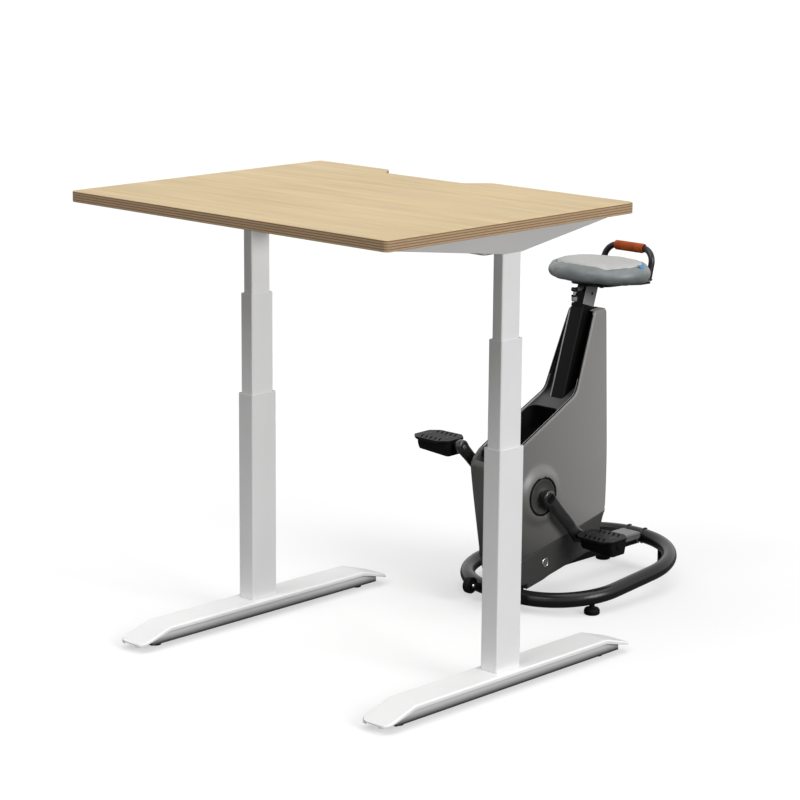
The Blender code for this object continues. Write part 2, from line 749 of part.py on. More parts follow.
def shells(bike):
    """Left and right housing halves with crank bosses, open along the tray and the riser."""
    for side, sign in (("left", -1), ("right", 1)):
        shell = part(f"{side}_shell", shell_shape(sign), "shell_grey", bike)
        boss = bmesh.new()
        turn = Matrix.Rotation(sign * math.pi / 2, 4, "Y")
        middle = Vector((sign * (BODY_HALF_WIDTH + BOSS_HEIGHT - BOSS_DEPTH / 2), 0, CRANK_HEIGHT))
        place = Matrix.Translation(middle) @ turn
        bmesh.ops.create_cone(boss, cap_ends=True, segments=36, radius1=BOSS_RADIUS,
                              radius2=BOSS_TOP_RADIUS, depth=BOSS_DEPTH, matrix=place)
        join(shell, tool(f"{side}_boss", boss, bike))
        low, high = sorted((sign * (BODY_HALF_WIDTH + 0.002), sign * (BODY_HALF_WIDTH + 0.032)))
        recess = cylinder(RECESS_RADIUS, low, high, "X", 36, (0, CRANK_HEIGHT))
        cut(shell, tool(f"{side}_recess", recess, bike))
        low, high = sorted((0, sign * 0.1))
        hole = cylinder(0.013, low, high, "X", 20, (0, CRANK_HEIGHT))
        cut(shell, tool(f"{side}_hole", hole, bike))
        opening = spread_prism(band(-0.030, 0.012, 0.02), BODY_HALF_WIDTH - RIM_WIDTH)
        cut(shell, tool(f"{side}_opening", opening, bike))
        passage = prism(tube_passage(), -0.25, 0.1)
        cut(shell, tool(f"{side}_tube_passage", passage, bike, POST_POINT, (-POST_LEAN, 0, 0)))
        below = [(-0.3, 0.0), (0.5, 0.0), (0.5, seam_height(0.5) + GAP), (-0.3, seam_height(-0.3) + GAP)]
        cut(shell, tool(f"{side}_below_seam", prism(below, -0.1, 0.1, "X"), bike))


def skirt(bike):
    """Lower skirt under the shut line, open at the top and slotted for the spine."""
    outline = body_outline()
    width, edge = BODY_HALF_WIDTH, SHELL_EDGE
    rings = []
    for depth, x in ((edge, -width), (0.3 * edge, 0.3 * edge - width), (0, edge - width), (0, width - edge),
                     (0.3 * edge, width - 0.3 * edge), (edge, width)):
        rings.append([Vector((x, y, z)) for y, z in inset(outline, depth)])
    shape = loft(rings)
    spread(shape)
    lower = part("lower_skirt", shape, "shell_grey", bike)
    above = [(-0.3, seam_height(-0.3) - GAP), (0.5, seam_height(0.5) - GAP), (0.5, 0.9), (-0.3, 0.9)]
    cut(lower, tool("skirt_above_seam", prism(above, -0.1, 0.1, "X"), bike))
    room = prism(inset(outline, SHELL_WALL), SHELL_WALL - width, width - SHELL_WALL, "X")
    spread(room)
    cut(lower, tool("skirt_room", room, bike))
    spine_width, spine_height = SPINE
    slot = box((spine_width + 0.002, 0.8, spine_height + 0.002), (0, 0.2, SPINE_BOTTOM + spine_height / 2))
    cut(lower, tool("skirt_slot", slot, bike))
    foot = box((spine_width + 0.002, 0.072, 0.066), (0, LOOP_FRONT + 0.037, 0.067))
    cut(lower, tool("skirt_foot_slot", foot, bike))
    clear = LOOP_RADIUS + 0.003
    loop_room = box((0.2, 2 * clear, 2 * clear), (0, LOOP_FRONT, LOOP_FRONT_HEIGHT))
    cut(lower, tool("skirt_loop_room", loop_room, bike))


def tray(bike):
    """Storage tray between the shell rims: a bin near the nose and a channel up the riser."""
    low, bend, high = TRAY_RUN
    path = filleted([(*low, 0), (*bend, 0.030), (*high, 0), (-1.0, 0.8, 0)], 5)[:-1]
    offset = []
    for index, point in enumerate(path):
        before = Vector(path[max(index - 1, 0)])
        after = Vector(path[min(index + 1, len(path) - 1)])
        along = (after - before).normalized()
        offset.append((point[0] + along.y * TRAY_THICKNESS, point[1] - along.x * TRAY_THICKNESS))
    half = BODY_HALF_WIDTH - RIM_WIDTH - 2 * GAP
    sheet = part("tray", spread_prism(path + offset[::-1], half), "tray_grey", bike)
    lean = math.atan2(bend[1] - low[1], bend[0] - low[0])
    centre = (0, BIN_Y, low[1] + (BIN_Y - low[0]) * math.tan(lean))
    width, length = BIN_SIZE
    outer = rounded_rectangle(width + 2 * BIN_WALL, length + 2 * BIN_WALL, BIN_CORNER + BIN_WALL, 4)
    inner = rounded_rectangle(width, length, BIN_CORNER, 4)
    tilt = (lean, 0, 0)
    join(sheet, tool("bin_outer", prism(outer, -BIN_DEPTH - BIN_WALL, -0.0005), bike, centre, tilt))
    cut(sheet, tool("bin_inner", prism(inner, -BIN_DEPTH, 0.03), bike, centre, tilt))
    cut(sheet, tool("tube_slot", prism(tube_passage(), -0.6, 0.1), bike, POST_POINT, (-POST_LEAN, 0, 0)))


def main_frame(bike):
    """Welded frame: spine, leaning seat tube, bottom-bracket post and bearing, and flywheel arm."""
    spine_width, spine_height = SPINE
    rear = LOOP_REAR - 0.004
    front = LOOP_FRONT + 0.004
    spine = box((spine_width, rear - front, spine_height),
                (0, (front + rear) / 2, SPINE_BOTTOM + spine_height / 2))
    frame = part("main_frame", spine, "black_steel", bike)
    soften(frame, 0.003, 1)
    saddle_low = LOOP_FRONT_HEIGHT - 0.010
    saddle_high = SPINE_BOTTOM + spine_height - 0.004
    saddle = box((spine_width - 0.004, 0.045, saddle_high - saddle_low),
                 (0, LOOP_FRONT + 0.0265, (saddle_low + saddle_high) / 2))
    join(frame, tool("frame_saddle", saddle, bike))
    tube = prism(rounded_rectangle(*SEAT_TUBE, 0.005, 3), -SEAT_TUBE_LENGTH, 0.0)
    join(frame, tool("seat_tube", tube, bike, POST_POINT, (-POST_LEAN, 0, 0)))
    post = box((0.036, 0.040, CRANK_HEIGHT - SPINE_BOTTOM - 0.012),
               (0, 0, (CRANK_HEIGHT + SPINE_BOTTOM + 0.012) / 2))
    join(frame, tool("bracket_post", post, bike))
    join(frame, tool("bracket_barrel", cylinder(0.024, -0.024, 0.024, "X", 24, (0, CRANK_HEIGHT)), bike))
    arm_y, arm_z = FLYWHEEL_POINT
    arm = box((0.008, arm_y + 0.014, 0.030), (0, arm_y / 2 + 0.007, arm_z))
    join(frame, tool("flywheel_arm", arm, bike))
    pin = cylinder(SPINDLE_RADIUS, -0.002, 0.056, "X", 20, FLYWHEEL_POINT)
    join(frame, tool("flywheel_pin", pin, bike))
    bore = (SEAT_TUBE[0] - 2 * SEAT_TUBE_WALL, SEAT_TUBE[1] - 2 * SEAT_TUBE_WALL)
    hole = rounded_rectangle(*bore, 0.003, 3)
    cut(frame, tool("seat_tube_bore", prism(hole, -0.390, 0.05), bike, POST_POINT, (-POST_LEAN, 0, 0)))
    spine_bore = box((spine_width - 0.005, rear - front + 0.1, spine_height - 0.005),
                     (0, (front + rear) / 2, SPINE_BOTTOM + spine_height / 2))
    cut(frame, tool("spine_bore", spine_bore, bike))
    bearing = cylinder(bore_radius(AXLE_RADIUS, 24), -0.05, 0.05, "X", 24, (0, CRANK_HEIGHT))
    cut(frame, tool("bearing_bore", bearing, bike))
    for name, y in (("front_tube_seat", LOOP_FRONT), ("rear_tube_seat", LOOP_REAR)):
        seat_of_tube = cylinder(LOOP_RADIUS + 0.0018, -0.06, 0.06, "X", 32, (y, loop_height(y)))
        cut(frame, tool(name, seat_of_tube, bike))
    for name, y in (("front_trim", LOOP_FRONT - 0.1), ("rear_trim", LOOP_REAR + 0.1)):
        cut(frame, tool(name, box((0.2, 0.2 - 2 * GAP, 0.3), (0, y, 0.1)), bike))


def loop_height(y):
    """Height of the loop's centre line, which rises gently to the rear."""
    share = (y - LOOP_FRONT) / (LOOP_REAR - LOOP_FRONT)
    return LOOP_FRONT_HEIGHT + share * (LOOP_REAR_HEIGHT - LOOP_FRONT_HEIGHT)


def wheel_shape():
    """Solid wheel with eased edges, bored to run on its pin."""
    bore = bore_radius(WHEEL_PIN, 24)
    half, shoulder = 0.008, WHEEL_RADIUS - 0.003
    return turned([(-half, bore), (-half, shoulder), (-0.005, WHEEL_RADIUS), (0.005, WHEEL_RADIUS),
                   (half, shoulder), (half, bore)], "X", 24)


def base_loop(bike):
    """Round floor tube bent into one closed loop, with a wheel fork at each front corner."""
    corners = (
        (LOOP_HALF_WIDTH, LOOP_FRONT, LOOP_FRONT_CORNER), (LOOP_HALF_WIDTH, LOOP_REAR, LOOP_REAR_CORNER),
        (-LOOP_HALF_WIDTH, LOOP_REAR, LOOP_REAR_CORNER), (-LOOP_HALF_WIDTH, LOOP_FRONT, LOOP_FRONT_CORNER),
    )
    points = [(x, y, loop_height(y)) for x, y in filleted(corners, 9)]
    loop = part("base_loop", swept(points, LOOP_RADIUS, closed=True, sides=4), "loop_steel", bike)
    middle = LOOP_HALF_WIDTH - LOOP_FRONT_CORNER
    tube_y = LOOP_FRONT + LOOP_FRONT_CORNER - math.sqrt(LOOP_FRONT_CORNER ** 2 - (WHEEL_X - middle) ** 2)
    to_tube = Vector((WHEEL_LEAD, loop_height(tube_y) - WHEEL_HEIGHT))
    for side, sign in (("left", -1), ("right", 1)):
        at = (sign * WHEEL_X, tube_y - WHEEL_LEAD, WHEEL_HEIGHT)
        fork(side, loop, bike, at, to_tube)
        part(f"{side}_wheel", wheel_shape(), "black_plastic", bike, at)
    cut(loop, tool("loop_bore", swept(points, LOOP_RADIUS - LOOP_WALL, closed=True, sides=2), bike))
    drain = cylinder(DRAIN_RADIUS, -0.5 * LOOP_RADIUS, -1.5 * LOOP_RADIUS, steps=12)
    cut(loop, tool("loop_drain", drain, bike, (LOOP_HALF_WIDTH, DRAIN_Y, loop_height(DRAIN_Y))))


def fork(side, loop, bike, at, to_tube):
    """Two cheeks and a pin that carry a transport wheel ahead of the loop, clear of the floor."""
    for name, cheek in (("outer", -1), ("inner", 1)):
        low, high = sorted(cheek * face for face in CHEEK)
        plate = prism(bar_outline(to_tube, CHEEK_WIDTH), low, high, "X")
        join(loop, tool(f"{side}_{name}_cheek", plate, bike, at))
    pin_half = CHEEK[1] + 0.0012
    join(loop, tool(f"{side}_wheel_pin", cylinder(WHEEL_PIN, -pin_half, pin_half, "X", 24), bike, at))


def pad_spots():
    """Where the levelling pads stand under the loop: on each side, and round each rear corner."""
    front = SIDE_PAD_Y - LOOP_FRONT - LOOP_FRONT_CORNER
    side_x = LOOP_HALF_WIDTH - LOOP_FRONT_CORNER + math.sqrt(LOOP_FRONT_CORNER ** 2 - front ** 2)
    rear_x = LOOP_HALF_WIDTH - LOOP_REAR_CORNER * (1 - math.cos(REAR_PAD_TURN))
    rear_y = LOOP_REAR - LOOP_REAR_CORNER * (1 - math.sin(REAR_PAD_TURN))
    for side, sign in (("left", -1), ("right", 1)):
        yield f"bike_{side}_pad", sign * side_x, SIDE_PAD_Y
        yield f"bike_{side}_rear_pad", sign * rear_x, rear_y


def bike_pads(bike):
    """Four threaded levelling pads that carry the loop."""
    for name, x, y in pad_spots():
        at = (x, y, 0)
        under = loop_height(y) - LOOP_RADIUS
        pad = part(name, cylinder(PAD_RADIUS, 0.0, PAD_HEIGHT), "rubber", bike, at)
        soften(pad, 0.004, 1, 60)
        stem = cylinder(PAD_STEM_RADIUS, 0.5 * PAD_HEIGHT, under - PAD_STEM_GAP, steps=12)
        join(pad, tool(f"{name}_stem", stem, bike, at))


def rail_cover(bike):
    """Folded light plate over the rear of the spine."""
    under = SPINE_BOTTOM + SPINE[1] + GAP
    top = under + COVER_SHEET
    low = top - COVER_DEPTH
    half, inner = COVER_WIDTH / 2, COVER_WIDTH / 2 - COVER_SHEET
    section = [
        (-half, low), (-inner, low), (-inner, under), (inner, under), (inner, low), (half, low),
        (half, top - 0.003), (half - 0.004, top), (-half + 0.004, top), (-half, top - 0.003),
    ]
    part("rail_cover", prism(section, COVER_FRONT, COVER_REAR, "Y"), "cover_grey", bike)


def post_hardware(bike):
    """Plastic bush and collar at the mouth of the seat tube."""
    bore = rounded_rectangle(SEAT_POST[0] + 2 * GAP, SEAT_POST[1] + 2 * GAP, 0.003, 3)
    sleeve = rounded_rectangle(SEAT_TUBE[0] - 2 * SEAT_TUBE_WALL - 2 * GAP,
                               SEAT_TUBE[1] - 2 * SEAT_TUBE_WALL - 2 * GAP, 0.003, 3)
    flange = rounded_rectangle(SEAT_TUBE[0] + 0.002, SEAT_TUBE[1] + 0.002, 0.006, 3)
    low, high = -0.060, COLLAR_HEIGHT
    levels = ((sleeve, low), (sleeve, GAP), (flange, GAP), (flange, high), (bore, high), (bore, low))
    rings = [[Vector((x, y, z)) for x, y in outline] for outline, z in levels]
    part("post_collar", loft(rings, closed=True), "black_plastic", bike, POST_POINT, (-POST_LEAN, 0, 0))


def crank_set(bike):
    """Axle, arms, cover discs and pulley, all turning about the crank axis."""
    crank = empty("crank_axis", (0, 0, CRANK_HEIGHT), bike)
    reach = CRANK_PLANE + 0.008
    part("crank_axle", cylinder(AXLE_RADIUS, -reach, reach, "X", 24), "bright_steel", crank)
    for side, sign in (("left", -1), ("right", 1)):
        low, high = sorted((sign * (BODY_HALF_WIDTH + 0.003), sign * (BODY_HALF_WIDTH + 0.0095)))
        disc = hollow(circle(DISC_RADIUS, 36), circle(AXLE_RADIUS + GAP, 36), low, high, "X")
        part(f"{side}_crank_disc", disc, "shell_grey", crank)
    near, far, bore = BELT_PLANE - BELT_WIDTH / 2, BELT_PLANE + BELT_WIDTH / 2, AXLE_RADIUS + GAP
    pulley = [(near, bore), (near, PULLEY_RADIUS), (far, PULLEY_RADIUS), (far, bore)]
    part("drive_pulley", turned(pulley, "X", 36), "black_plastic", crank)
    for side, sign in (("left", -1), ("right", 1)):
        angle = CRANK_ANGLE if sign > 0 else CRANK_ANGLE + math.pi
        crank_arm(f"{side}_crank", sign, angle, crank)
        reach_y, reach_z = CRANK_LENGTH * math.cos(angle), CRANK_LENGTH * math.sin(angle)
        pedal(f"{side}_pedal", sign, crank, (sign * PEDAL_PLANE, reach_y, reach_z))


def crank_arm(name, sign, angle, crank):
    """Forged arm that tapers from its boss to the pedal eye, with the pedal spindle screwed in."""
    root, eye, neck = 0.020, 0.017, 0.0135
    outline = []
    for step in range(9):
        turn = math.radians(100 + 160 * step / 8)
        outline.append((root * math.cos(turn), root * math.sin(turn)))
    outline.append((0.040, -neck - 0.002))
    outline.append((CRANK_LENGTH - 0.030, -neck))
    for step in range(9):
        turn = math.radians(-100 + 200 * step / 8)
        outline.append((CRANK_LENGTH + eye * math.cos(turn), eye * math.sin(turn)))
    outline.append((CRANK_LENGTH - 0.030, neck))
    outline.append((0.040, neck + 0.002))
    low, high = sorted((sign * (CRANK_PLANE - 0.011), sign * (CRANK_PLANE + 0.009)))
    arm = part(name, prism(outline, low, high, "X"), "black_steel", crank, rotation=(angle, 0, 0))
    soften(arm, 0.003, 2, 60)
    cut(arm, tool(f"{name}_bore", cylinder(AXLE_RADIUS + GAP, -0.2, 0.2, "X", 20), crank))
    low, high = sorted((sign * CRANK_PLANE, sign * (PEDAL_PLANE + 0.036)))
    spindle = cylinder(SPINDLE_RADIUS, low, high, "X", 20, (CRANK_LENGTH, 0))
    join(arm, tool(f"{name}_spindle", spindle, crank, rotation=(angle, 0, 0)))


def pedal(name, sign, crank, spot_on_arm):
    """Broad slotted platform on a barrel, with side webs that deepen to its outer end."""
    half_x, half_y, corner = 0.050, 0.044, 0.015
    thin, deep, top = -0.006, -0.024, 0.013
    tread = filleted([(-half_x, -half_y + corner, 0.006), (-half_x + corner, -half_y, 0.008),
                      (half_x - corner, -half_y, 0.008), (half_x, -half_y + corner, 0.006),
                      (half_x, half_y - corner, 0.006), (half_x - corner, half_y, 0.008),
                      (-half_x + corner, half_y, 0.008), (-half_x, half_y - corner, 0.006)], 2)
    body = part(name, prism(tread, 0.005, top), "black_plastic", crank, spot_on_arm)
    soften(body, 0.0015, 1, 60)
    inner, outer = -sign * (half_x - 0.002), sign * (half_x - 0.003)
    low, high = sorted((inner, outer))
    join(body, tool(f"{name}_barrel", cylinder(0.011, low, high, "X", 20), crank, spot_on_arm))
    side = [(inner, 0.008), (inner, thin), (outer, deep), (outer, 0.008)]
    for tag, y in (("front", -0.030), ("rear", 0.030)):
        web = prism(side, y - 0.002, y + 0.002, "Y")
        join(body, tool(f"{name}_{tag}_web", web, crank, spot_on_arm))
    for tag, x, down in (("inner", inner + sign * 0.003, thin), ("outer", outer - sign * 0.003, deep)):
        end = box((0.006, 0.064, 0.008 - down), (x, 0, (0.008 + down) / 2))
        join(body, tool(f"{name}_{tag}_end", end, crank, spot_on_arm))
    slots = bmesh.new()
    slant = math.radians(25)
    for row in (-0.0265, 0.0265):
        for index in range(5):
            middle = Vector(((index - 2) * 0.0145, row, 0))
            place = Matrix.Translation(middle) @ Matrix.Rotation(slant, 4, "Z")
            slot = prism(rounded_rectangle(0.0042, 0.022, 0.0018, 1), 0.003, 0.02)
            bmesh.ops.transform(slot, matrix=place, verts=slot.verts)
            mesh = bpy.data.meshes.new("slot")
            slot.to_mesh(mesh)
            slot.free()
            slots.from_mesh(mesh)
    cut(body, tool(f"{name}_slots", slots, crank, spot_on_arm))
    bore = cylinder(bore_radius(SPINDLE_RADIUS, 20), -0.1, 0.1, "X", 20)
    cut(body, tool(f"{name}_bore", bore, crank, spot_on_arm))


def flywheel(bike):
    """Cast wheel with a small belt pulley on its hub, turning on the frame's pin."""
    bore = bore_radius(SPINDLE_RADIUS, 36)
    near, far = BELT_PLANE - BELT_WIDTH / 2, BELT_PLANE + BELT_WIDTH / 2
    profile = [
        (near, bore), (near, SMALL_PULLEY_RADIUS), (far, SMALL_PULLEY_RADIUS), (far + 0.003, 0.024),
        (0.043, 0.026), (0.043, 0.066), (0.039, 0.070), (0.039, FLYWHEEL_RADIUS), (0.053, FLYWHEEL_RADIUS),
        (0.053, bore),
    ]
    part("flywheel", turned(profile, "X", 36), "cast_iron", bike, (0, *FLYWHEEL_POINT))


def drive_belt(bike):
    """Flat belt round the two pulleys."""
    start = Vector((0.0, CRANK_HEIGHT))
    end = Vector(FLYWHEEL_POINT)
    along = end - start
    heading = math.atan2(along.y, along.x)
    outlines = []
    for thickness in (GAP, 0.0023):
        big, small = PULLEY_RADIUS + thickness, SMALL_PULLEY_RADIUS + thickness
        wrap = math.acos((big - small) / along.length)
        outline = []
        for step in range(25):
            turn = heading + wrap + (2 * math.pi - 2 * wrap) * step / 24
            outline.append((start.x + big * math.cos(turn), start.y + big * math.sin(turn)))
        for step in range(9):
            turn = heading - wrap + 2 * wrap * step / 8
            outline.append((end.x + small * math.cos(turn), end.y + small * math.sin(turn)))
        outlines.append(outline)
    half = BELT_WIDTH / 2 - 0.0005
    band_round = hollow(outlines[1], outlines[0], BELT_PLANE - half, BELT_PLANE + half, "X")
    part("drive_belt", band_round, "belt_rubber", bike)


def seat(bike):
    """Sliding post with the pan, cushion, rear handle and release lever it carries."""
    unit = empty("seat_unit", (0, 0, 0), bike)
    saddle = empty("seat_slide", POST_POINT, unit, (-POST_LEAN, 0, 0))
    shape = rounded_rectangle(*SEAT_POST, 0.0027, 3)
    post = part("seat_post", prism(shape, -POST_INSERTED, POST_EXPOSED), "black_steel", saddle)
    tilt = (SEAT_TILT, 0, 0)
    seat_spot = (0, SEAT_Y, SEAT_BOTTOM)
    above = box((0.3, 0.3, 0.1), (0, 0, 0.05 - PAN_THICKNESS - GAP))
    cut(post, tool("above_post", above, unit, seat_spot, tilt))
    bore = rounded_rectangle(SEAT_POST[0] - 0.004, SEAT_POST[1] - 0.004, 0.002)
    cut(post, tool("post_bore", prism(bore, -POST_INSERTED - 0.01, POST_EXPOSED - 0.016), saddle))
    pivot_y, pivot_z = LEVER_PIVOT
    boss = cylinder(0.0055, pivot_y + 0.0060, pivot_y + 0.040, "Y", 16, (0, pivot_z))
    join(post, tool("lever_boss", boss, unit))
    cut(post, tool("post_hole", cylinder(0.0045, -0.1, 0.1, "X", 16, (0.004, 0.040)), saddle))
    pan = prism(rounded_rectangle(0.170, 0.170, 0.060, 6), -PAN_THICKNESS, -GAP)
    plate = part("seat_pan", pan, "black_steel", unit, seat_spot, tilt)
    tail = prism(rounded_rectangle(0.173, 0.080, 0.010, 3, (0, 0.073)), -PAN_THICKNESS, -GAP)
    join(plate, tool("pan_tail", tail, unit, seat_spot, tilt))
    cushion(unit, seat_spot, tilt)
    handle(unit)
    lever(unit)


def cushion(unit, at, tilt):
    """Round cushion with a crowned top, full sides and a flat underside."""
    sides = 36
    levels = (
        (0.86, 0.0), (0.935, 0.070), (0.98, 0.210), (1.0, 0.420), (0.99, 0.600), (0.955, 0.740),
        (0.89, 0.850), (0.79, 0.925), (0.60, 0.970), (0.32, 1.0),
    )
    height = SEAT_TOP - SEAT_BOTTOM
    rings = []
    for reach, share in levels:
        ring = circle(reach, sides)
        rings.append([Vector((u * SEAT_HALF_WIDTH, v * SEAT_HALF_DEPTH, share * height)) for u, v in ring])
    part("seat_cushion", loft(rings), "seat_vinyl", unit, at, tilt)


def handle(unit):
    """Bent tube that rises from the seat pan's tail, with a leather sleeve round its middle."""
    half, bend, high = HANDLE_HALF_WIDTH, HANDLE_BEND, HANDLE_TOP
    foot_y, foot_z = SEAT_Y + HANDLE_BACK, SEAT_BOTTOM + 0.0002
    corners = [(-half, foot_z, 0), (-half, high, bend), (half, high, bend), (half, foot_z, 0)]
    points = []
    for x, z in filleted(corners, 7):
        points.append((x, foot_y + HANDLE_LEAN * (z - foot_z) / (high - foot_z), z))
    part("rear_handle", swept(points, HANDLE_RADIUS), "black_steel", unit)
    bore = HANDLE_RADIUS + 0.0004
    sleeve = hollow(circle(GRIP_RADIUS, 20), circle(bore, 20), -GRIP_HALF, GRIP_HALF, "X")
    part("handle_grip", sleeve, "tan_leather", unit, (0, foot_y + HANDLE_LEAN, high))


def lever(unit):
    """Release lever that hangs from a pivot ahead of the post."""
    at = (0, *LEVER_PIVOT)
    arm = part("release_lever", cylinder(0.0055, -0.011, 0.011, "X", 16), "bright_steel", unit, at)
    join(arm, tool("lever_rod", cylinder(0.0035, -0.022, 0.002, "Z", 12), unit, at))
    join(arm, tool("lever_knob", cylinder(0.0075, -0.030, -0.014, "Z", 16), unit, at))


def build():
    clear_scene()
    origin = empty("assembly", (0, -CENTRE_Y, 0))
    stand = empty("stand", (0, 0, 0), origin)
    levelling = empty("levelling", (0, 0, 0), stand)
    middle = empty("middle_stage", (0, 0, 0), stand)
    top = empty("top_stage", (0, 0, 0), stand)
    bike = empty("bike", (BIKE_X, BIKE_Y, 0), origin)
    desktop(top)
    columns(stand, middle, top)
    feet(stand, levelling)
    under_top(top)
    handset(top)
    base_loop(bike)
    main_frame(bike)
    shells(bike)
    skirt(bike)
    tray(bike)
    rail_cover(bike)
    bike_pads(bike)
    post_hardware(bike)
    crank_set(bike)
    flywheel(bike)
    drive_belt(bike)
    seat(bike)


build()
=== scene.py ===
"""Looks of the sit-stand desk and the exercise bike that rolls in under it.

Metres, +Z up. The bike's own frame has the crank axle over its origin and +Y to the rear.
"""

import json
import math

import bmesh
import bpy
import numpy as np
from mathutils import Matrix, Vector
from mathutils.geometry import delaunay_2d_cdt

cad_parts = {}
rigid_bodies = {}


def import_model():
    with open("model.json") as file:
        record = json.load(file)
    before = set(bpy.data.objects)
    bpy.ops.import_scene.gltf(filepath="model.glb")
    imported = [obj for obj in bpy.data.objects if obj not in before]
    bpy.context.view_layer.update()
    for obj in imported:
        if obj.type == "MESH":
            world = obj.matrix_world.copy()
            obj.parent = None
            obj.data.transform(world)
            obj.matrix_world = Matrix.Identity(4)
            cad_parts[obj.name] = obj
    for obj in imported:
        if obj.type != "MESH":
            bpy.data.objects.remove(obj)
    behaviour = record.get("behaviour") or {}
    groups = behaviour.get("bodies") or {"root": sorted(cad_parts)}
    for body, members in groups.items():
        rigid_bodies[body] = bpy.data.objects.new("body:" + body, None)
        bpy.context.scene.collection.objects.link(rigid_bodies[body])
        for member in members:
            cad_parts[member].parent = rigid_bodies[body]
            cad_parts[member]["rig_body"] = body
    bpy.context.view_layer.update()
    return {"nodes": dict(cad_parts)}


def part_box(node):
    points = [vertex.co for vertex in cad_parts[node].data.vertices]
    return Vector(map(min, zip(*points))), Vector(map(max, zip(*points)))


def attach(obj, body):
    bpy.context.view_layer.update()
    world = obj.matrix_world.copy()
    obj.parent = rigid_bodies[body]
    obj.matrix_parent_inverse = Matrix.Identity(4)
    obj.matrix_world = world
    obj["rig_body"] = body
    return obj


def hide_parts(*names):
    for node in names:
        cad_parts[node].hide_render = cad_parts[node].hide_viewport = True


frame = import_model()
NODES = frame["nodes"]
SIDES = (("left", -1), ("right", 1))
ACROSS, UP = (1, 0, 0), (0, 0, 1)

# The camera stands at the front right of the desk, a long way off
CAMERA_AT = (4.0941, -4.5095, 1.9172)
CAMERA_YAW = -0.7589
CAMERA_PITCH = -0.2188
CAMERA_ROLL = 0.0082
FOCAL_PIXELS = 2600
IMAGE_PIXELS = 800
SENSOR = 36.0

# Name, energy, softness, heading from +X and height in degrees, and whether the top lets it pass
LAMPS = (
    ("side_light", 2.04, 30, 0, 25, True),
    ("front_light", 1.12, 35, -90, 50, False),
    ("top_light", 0.95, 50, 40, 76, True),
)
UNSHADED = ("desktop", "left_bracket", "right_bracket", "crossbeam", "handset")
AMBIENT = 0.25
FLOOR_BOUNCE, FLOOR_SEEN, FLOOR_WHITE = 0.16, 1.0, 0.54

# Desk
BOARD_LOW, BOARD_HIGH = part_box("desktop")
PLY_LAYERS = 9

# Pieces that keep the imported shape: their eased edges, and their paint where it isn't the slot's
EDGE = 0.0006
SOFT_EDGES = {"desktop": 0.0, "tray": 0.0015}
REPAINTED = {
    # The brackets and crossbeam take a darker copy of the white steel: painted shade.
    "left_bracket": "shaded_bracket_white", "right_bracket": "shaded_bracket_white", "crossbeam": "shaded_bracket_white",
    # The foot beams take a darker copy of the white steel with painted shade.
    "left_foot_beam": "shaded_beam_white", "right_foot_beam": "shaded_beam_white", "main_frame": "frame_black",
    "seat_post": "post_grey",
}

# Bike: the crank axle's middle is over its origin
AXLE_LOW, AXLE_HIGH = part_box("crank_axle")
CRANK = (AXLE_LOW + AXLE_HIGH) / 2
BIKE = Vector((CRANK.x, CRANK.y, 0.0))
BODY_HALF_WIDTH = 0.066
BODY_TOP_HALF_WIDTH = 0.045
TAPER_FROM, TAPER_BLEND, TAPER_TO = 0.26, 0.40, 0.72
SIDE_EDGE, RIM_EDGE, SEAM_EDGE = 0.008, 0.004, 0.0012
RIM_WIDTH, RIM_LIP = 0.007, 0.012
SHELL_WALL, SHELL_SHEET = 0.0025, 0.0012
BOSS_HEIGHT, BOSS_STEPS = 0.0105, 96
BOSS_OUTER, BOSS_INNER = 0.082, 0.054
RECESS_RADIUS, RECESS_FLOOR, HUB_RADIUS = 0.0485, 0.0018, 0.013
SEAM_FRONT = (-0.160, 0.1105)
SEAM_REAR = (0.340, 0.2170)
SEAM_GAP, SEAM_INSET = 0.0004, 0.004
TUBE_HALF = 0.0235
PANEL_GRID, PANEL_MARGIN = 0.007, 0.004

TRAY_LOW, TRAY_BEND = (-0.0895, 0.3990), (0.1827, 0.5310)
BIN_SIZE = (0.094, 0.176)
BIN_DEPTH, BIN_CORNER, BIN_Y = 0.054, 0.020, 0.012
BADGE_SPOT = (0.0287, 0.1073)
BADGE_RADIUS = 0.012
POST_LEAN = math.radians(18)
POST_AXIS = (0.2302, 0.722)

# Base loop, its pads and wheels
LOOP_RADIUS = 0.019
LOOP_HALF_WIDTH = 0.218
LOOP_FRONT, LOOP_REAR = -0.056, 0.4737
LOOP_FRONT_CORNER, LOOP_REAR_CORNER = 0.172, 0.212
LOOP_FRONT_HEIGHT, LOOP_REAR_HEIGHT = 0.035, 0.083
WELD_X, WELD_RADIUS = 0.0262, 0.0022
WHEEL_X, WHEEL_LEAD, WHEEL_HEIGHT = 0.075, 0.046, 0.047
CHEEK_INNER, CHEEK_OUTER, CHEEK_WIDTH = 0.0086, 0.0118, 0.018
STUD_PITCH, STUD_ROOT, STUD_CREST = 0.0012, 0.0062, 0.0070
SPINE_BOLT, SPINE_BOLT_RADIUS = (0.0265, 0.450, 0.081), 0.0075

# Cranks and pedals
CRANK_LENGTH = 0.170
CRANK_ANGLE = math.radians(-45)
ARM_INNER, ARM_OUTER, ARM_WAIST = 0.081, 0.101, 0.0035
ARM_ROOT, ARM_EYE, ARM_NECK = 0.0205, 0.0175, 0.0165
PEDAL_PLANE = 0.168
PEDAL_PITCH = math.radians(1)
TREAD_HALF_WIDTH, TREAD_HALF_DEPTH = 0.059, 0.047
TREAD_TOP, TREAD_THICKNESS = 0.0155, 0.007
SLOT_ROW, SLOT_PITCH, SLOT_WIDTH = 0.0290, 0.0148, 0.0042
SLOT_LEAN, SLOT_HALF_LENGTH = math.radians(27), 0.0105

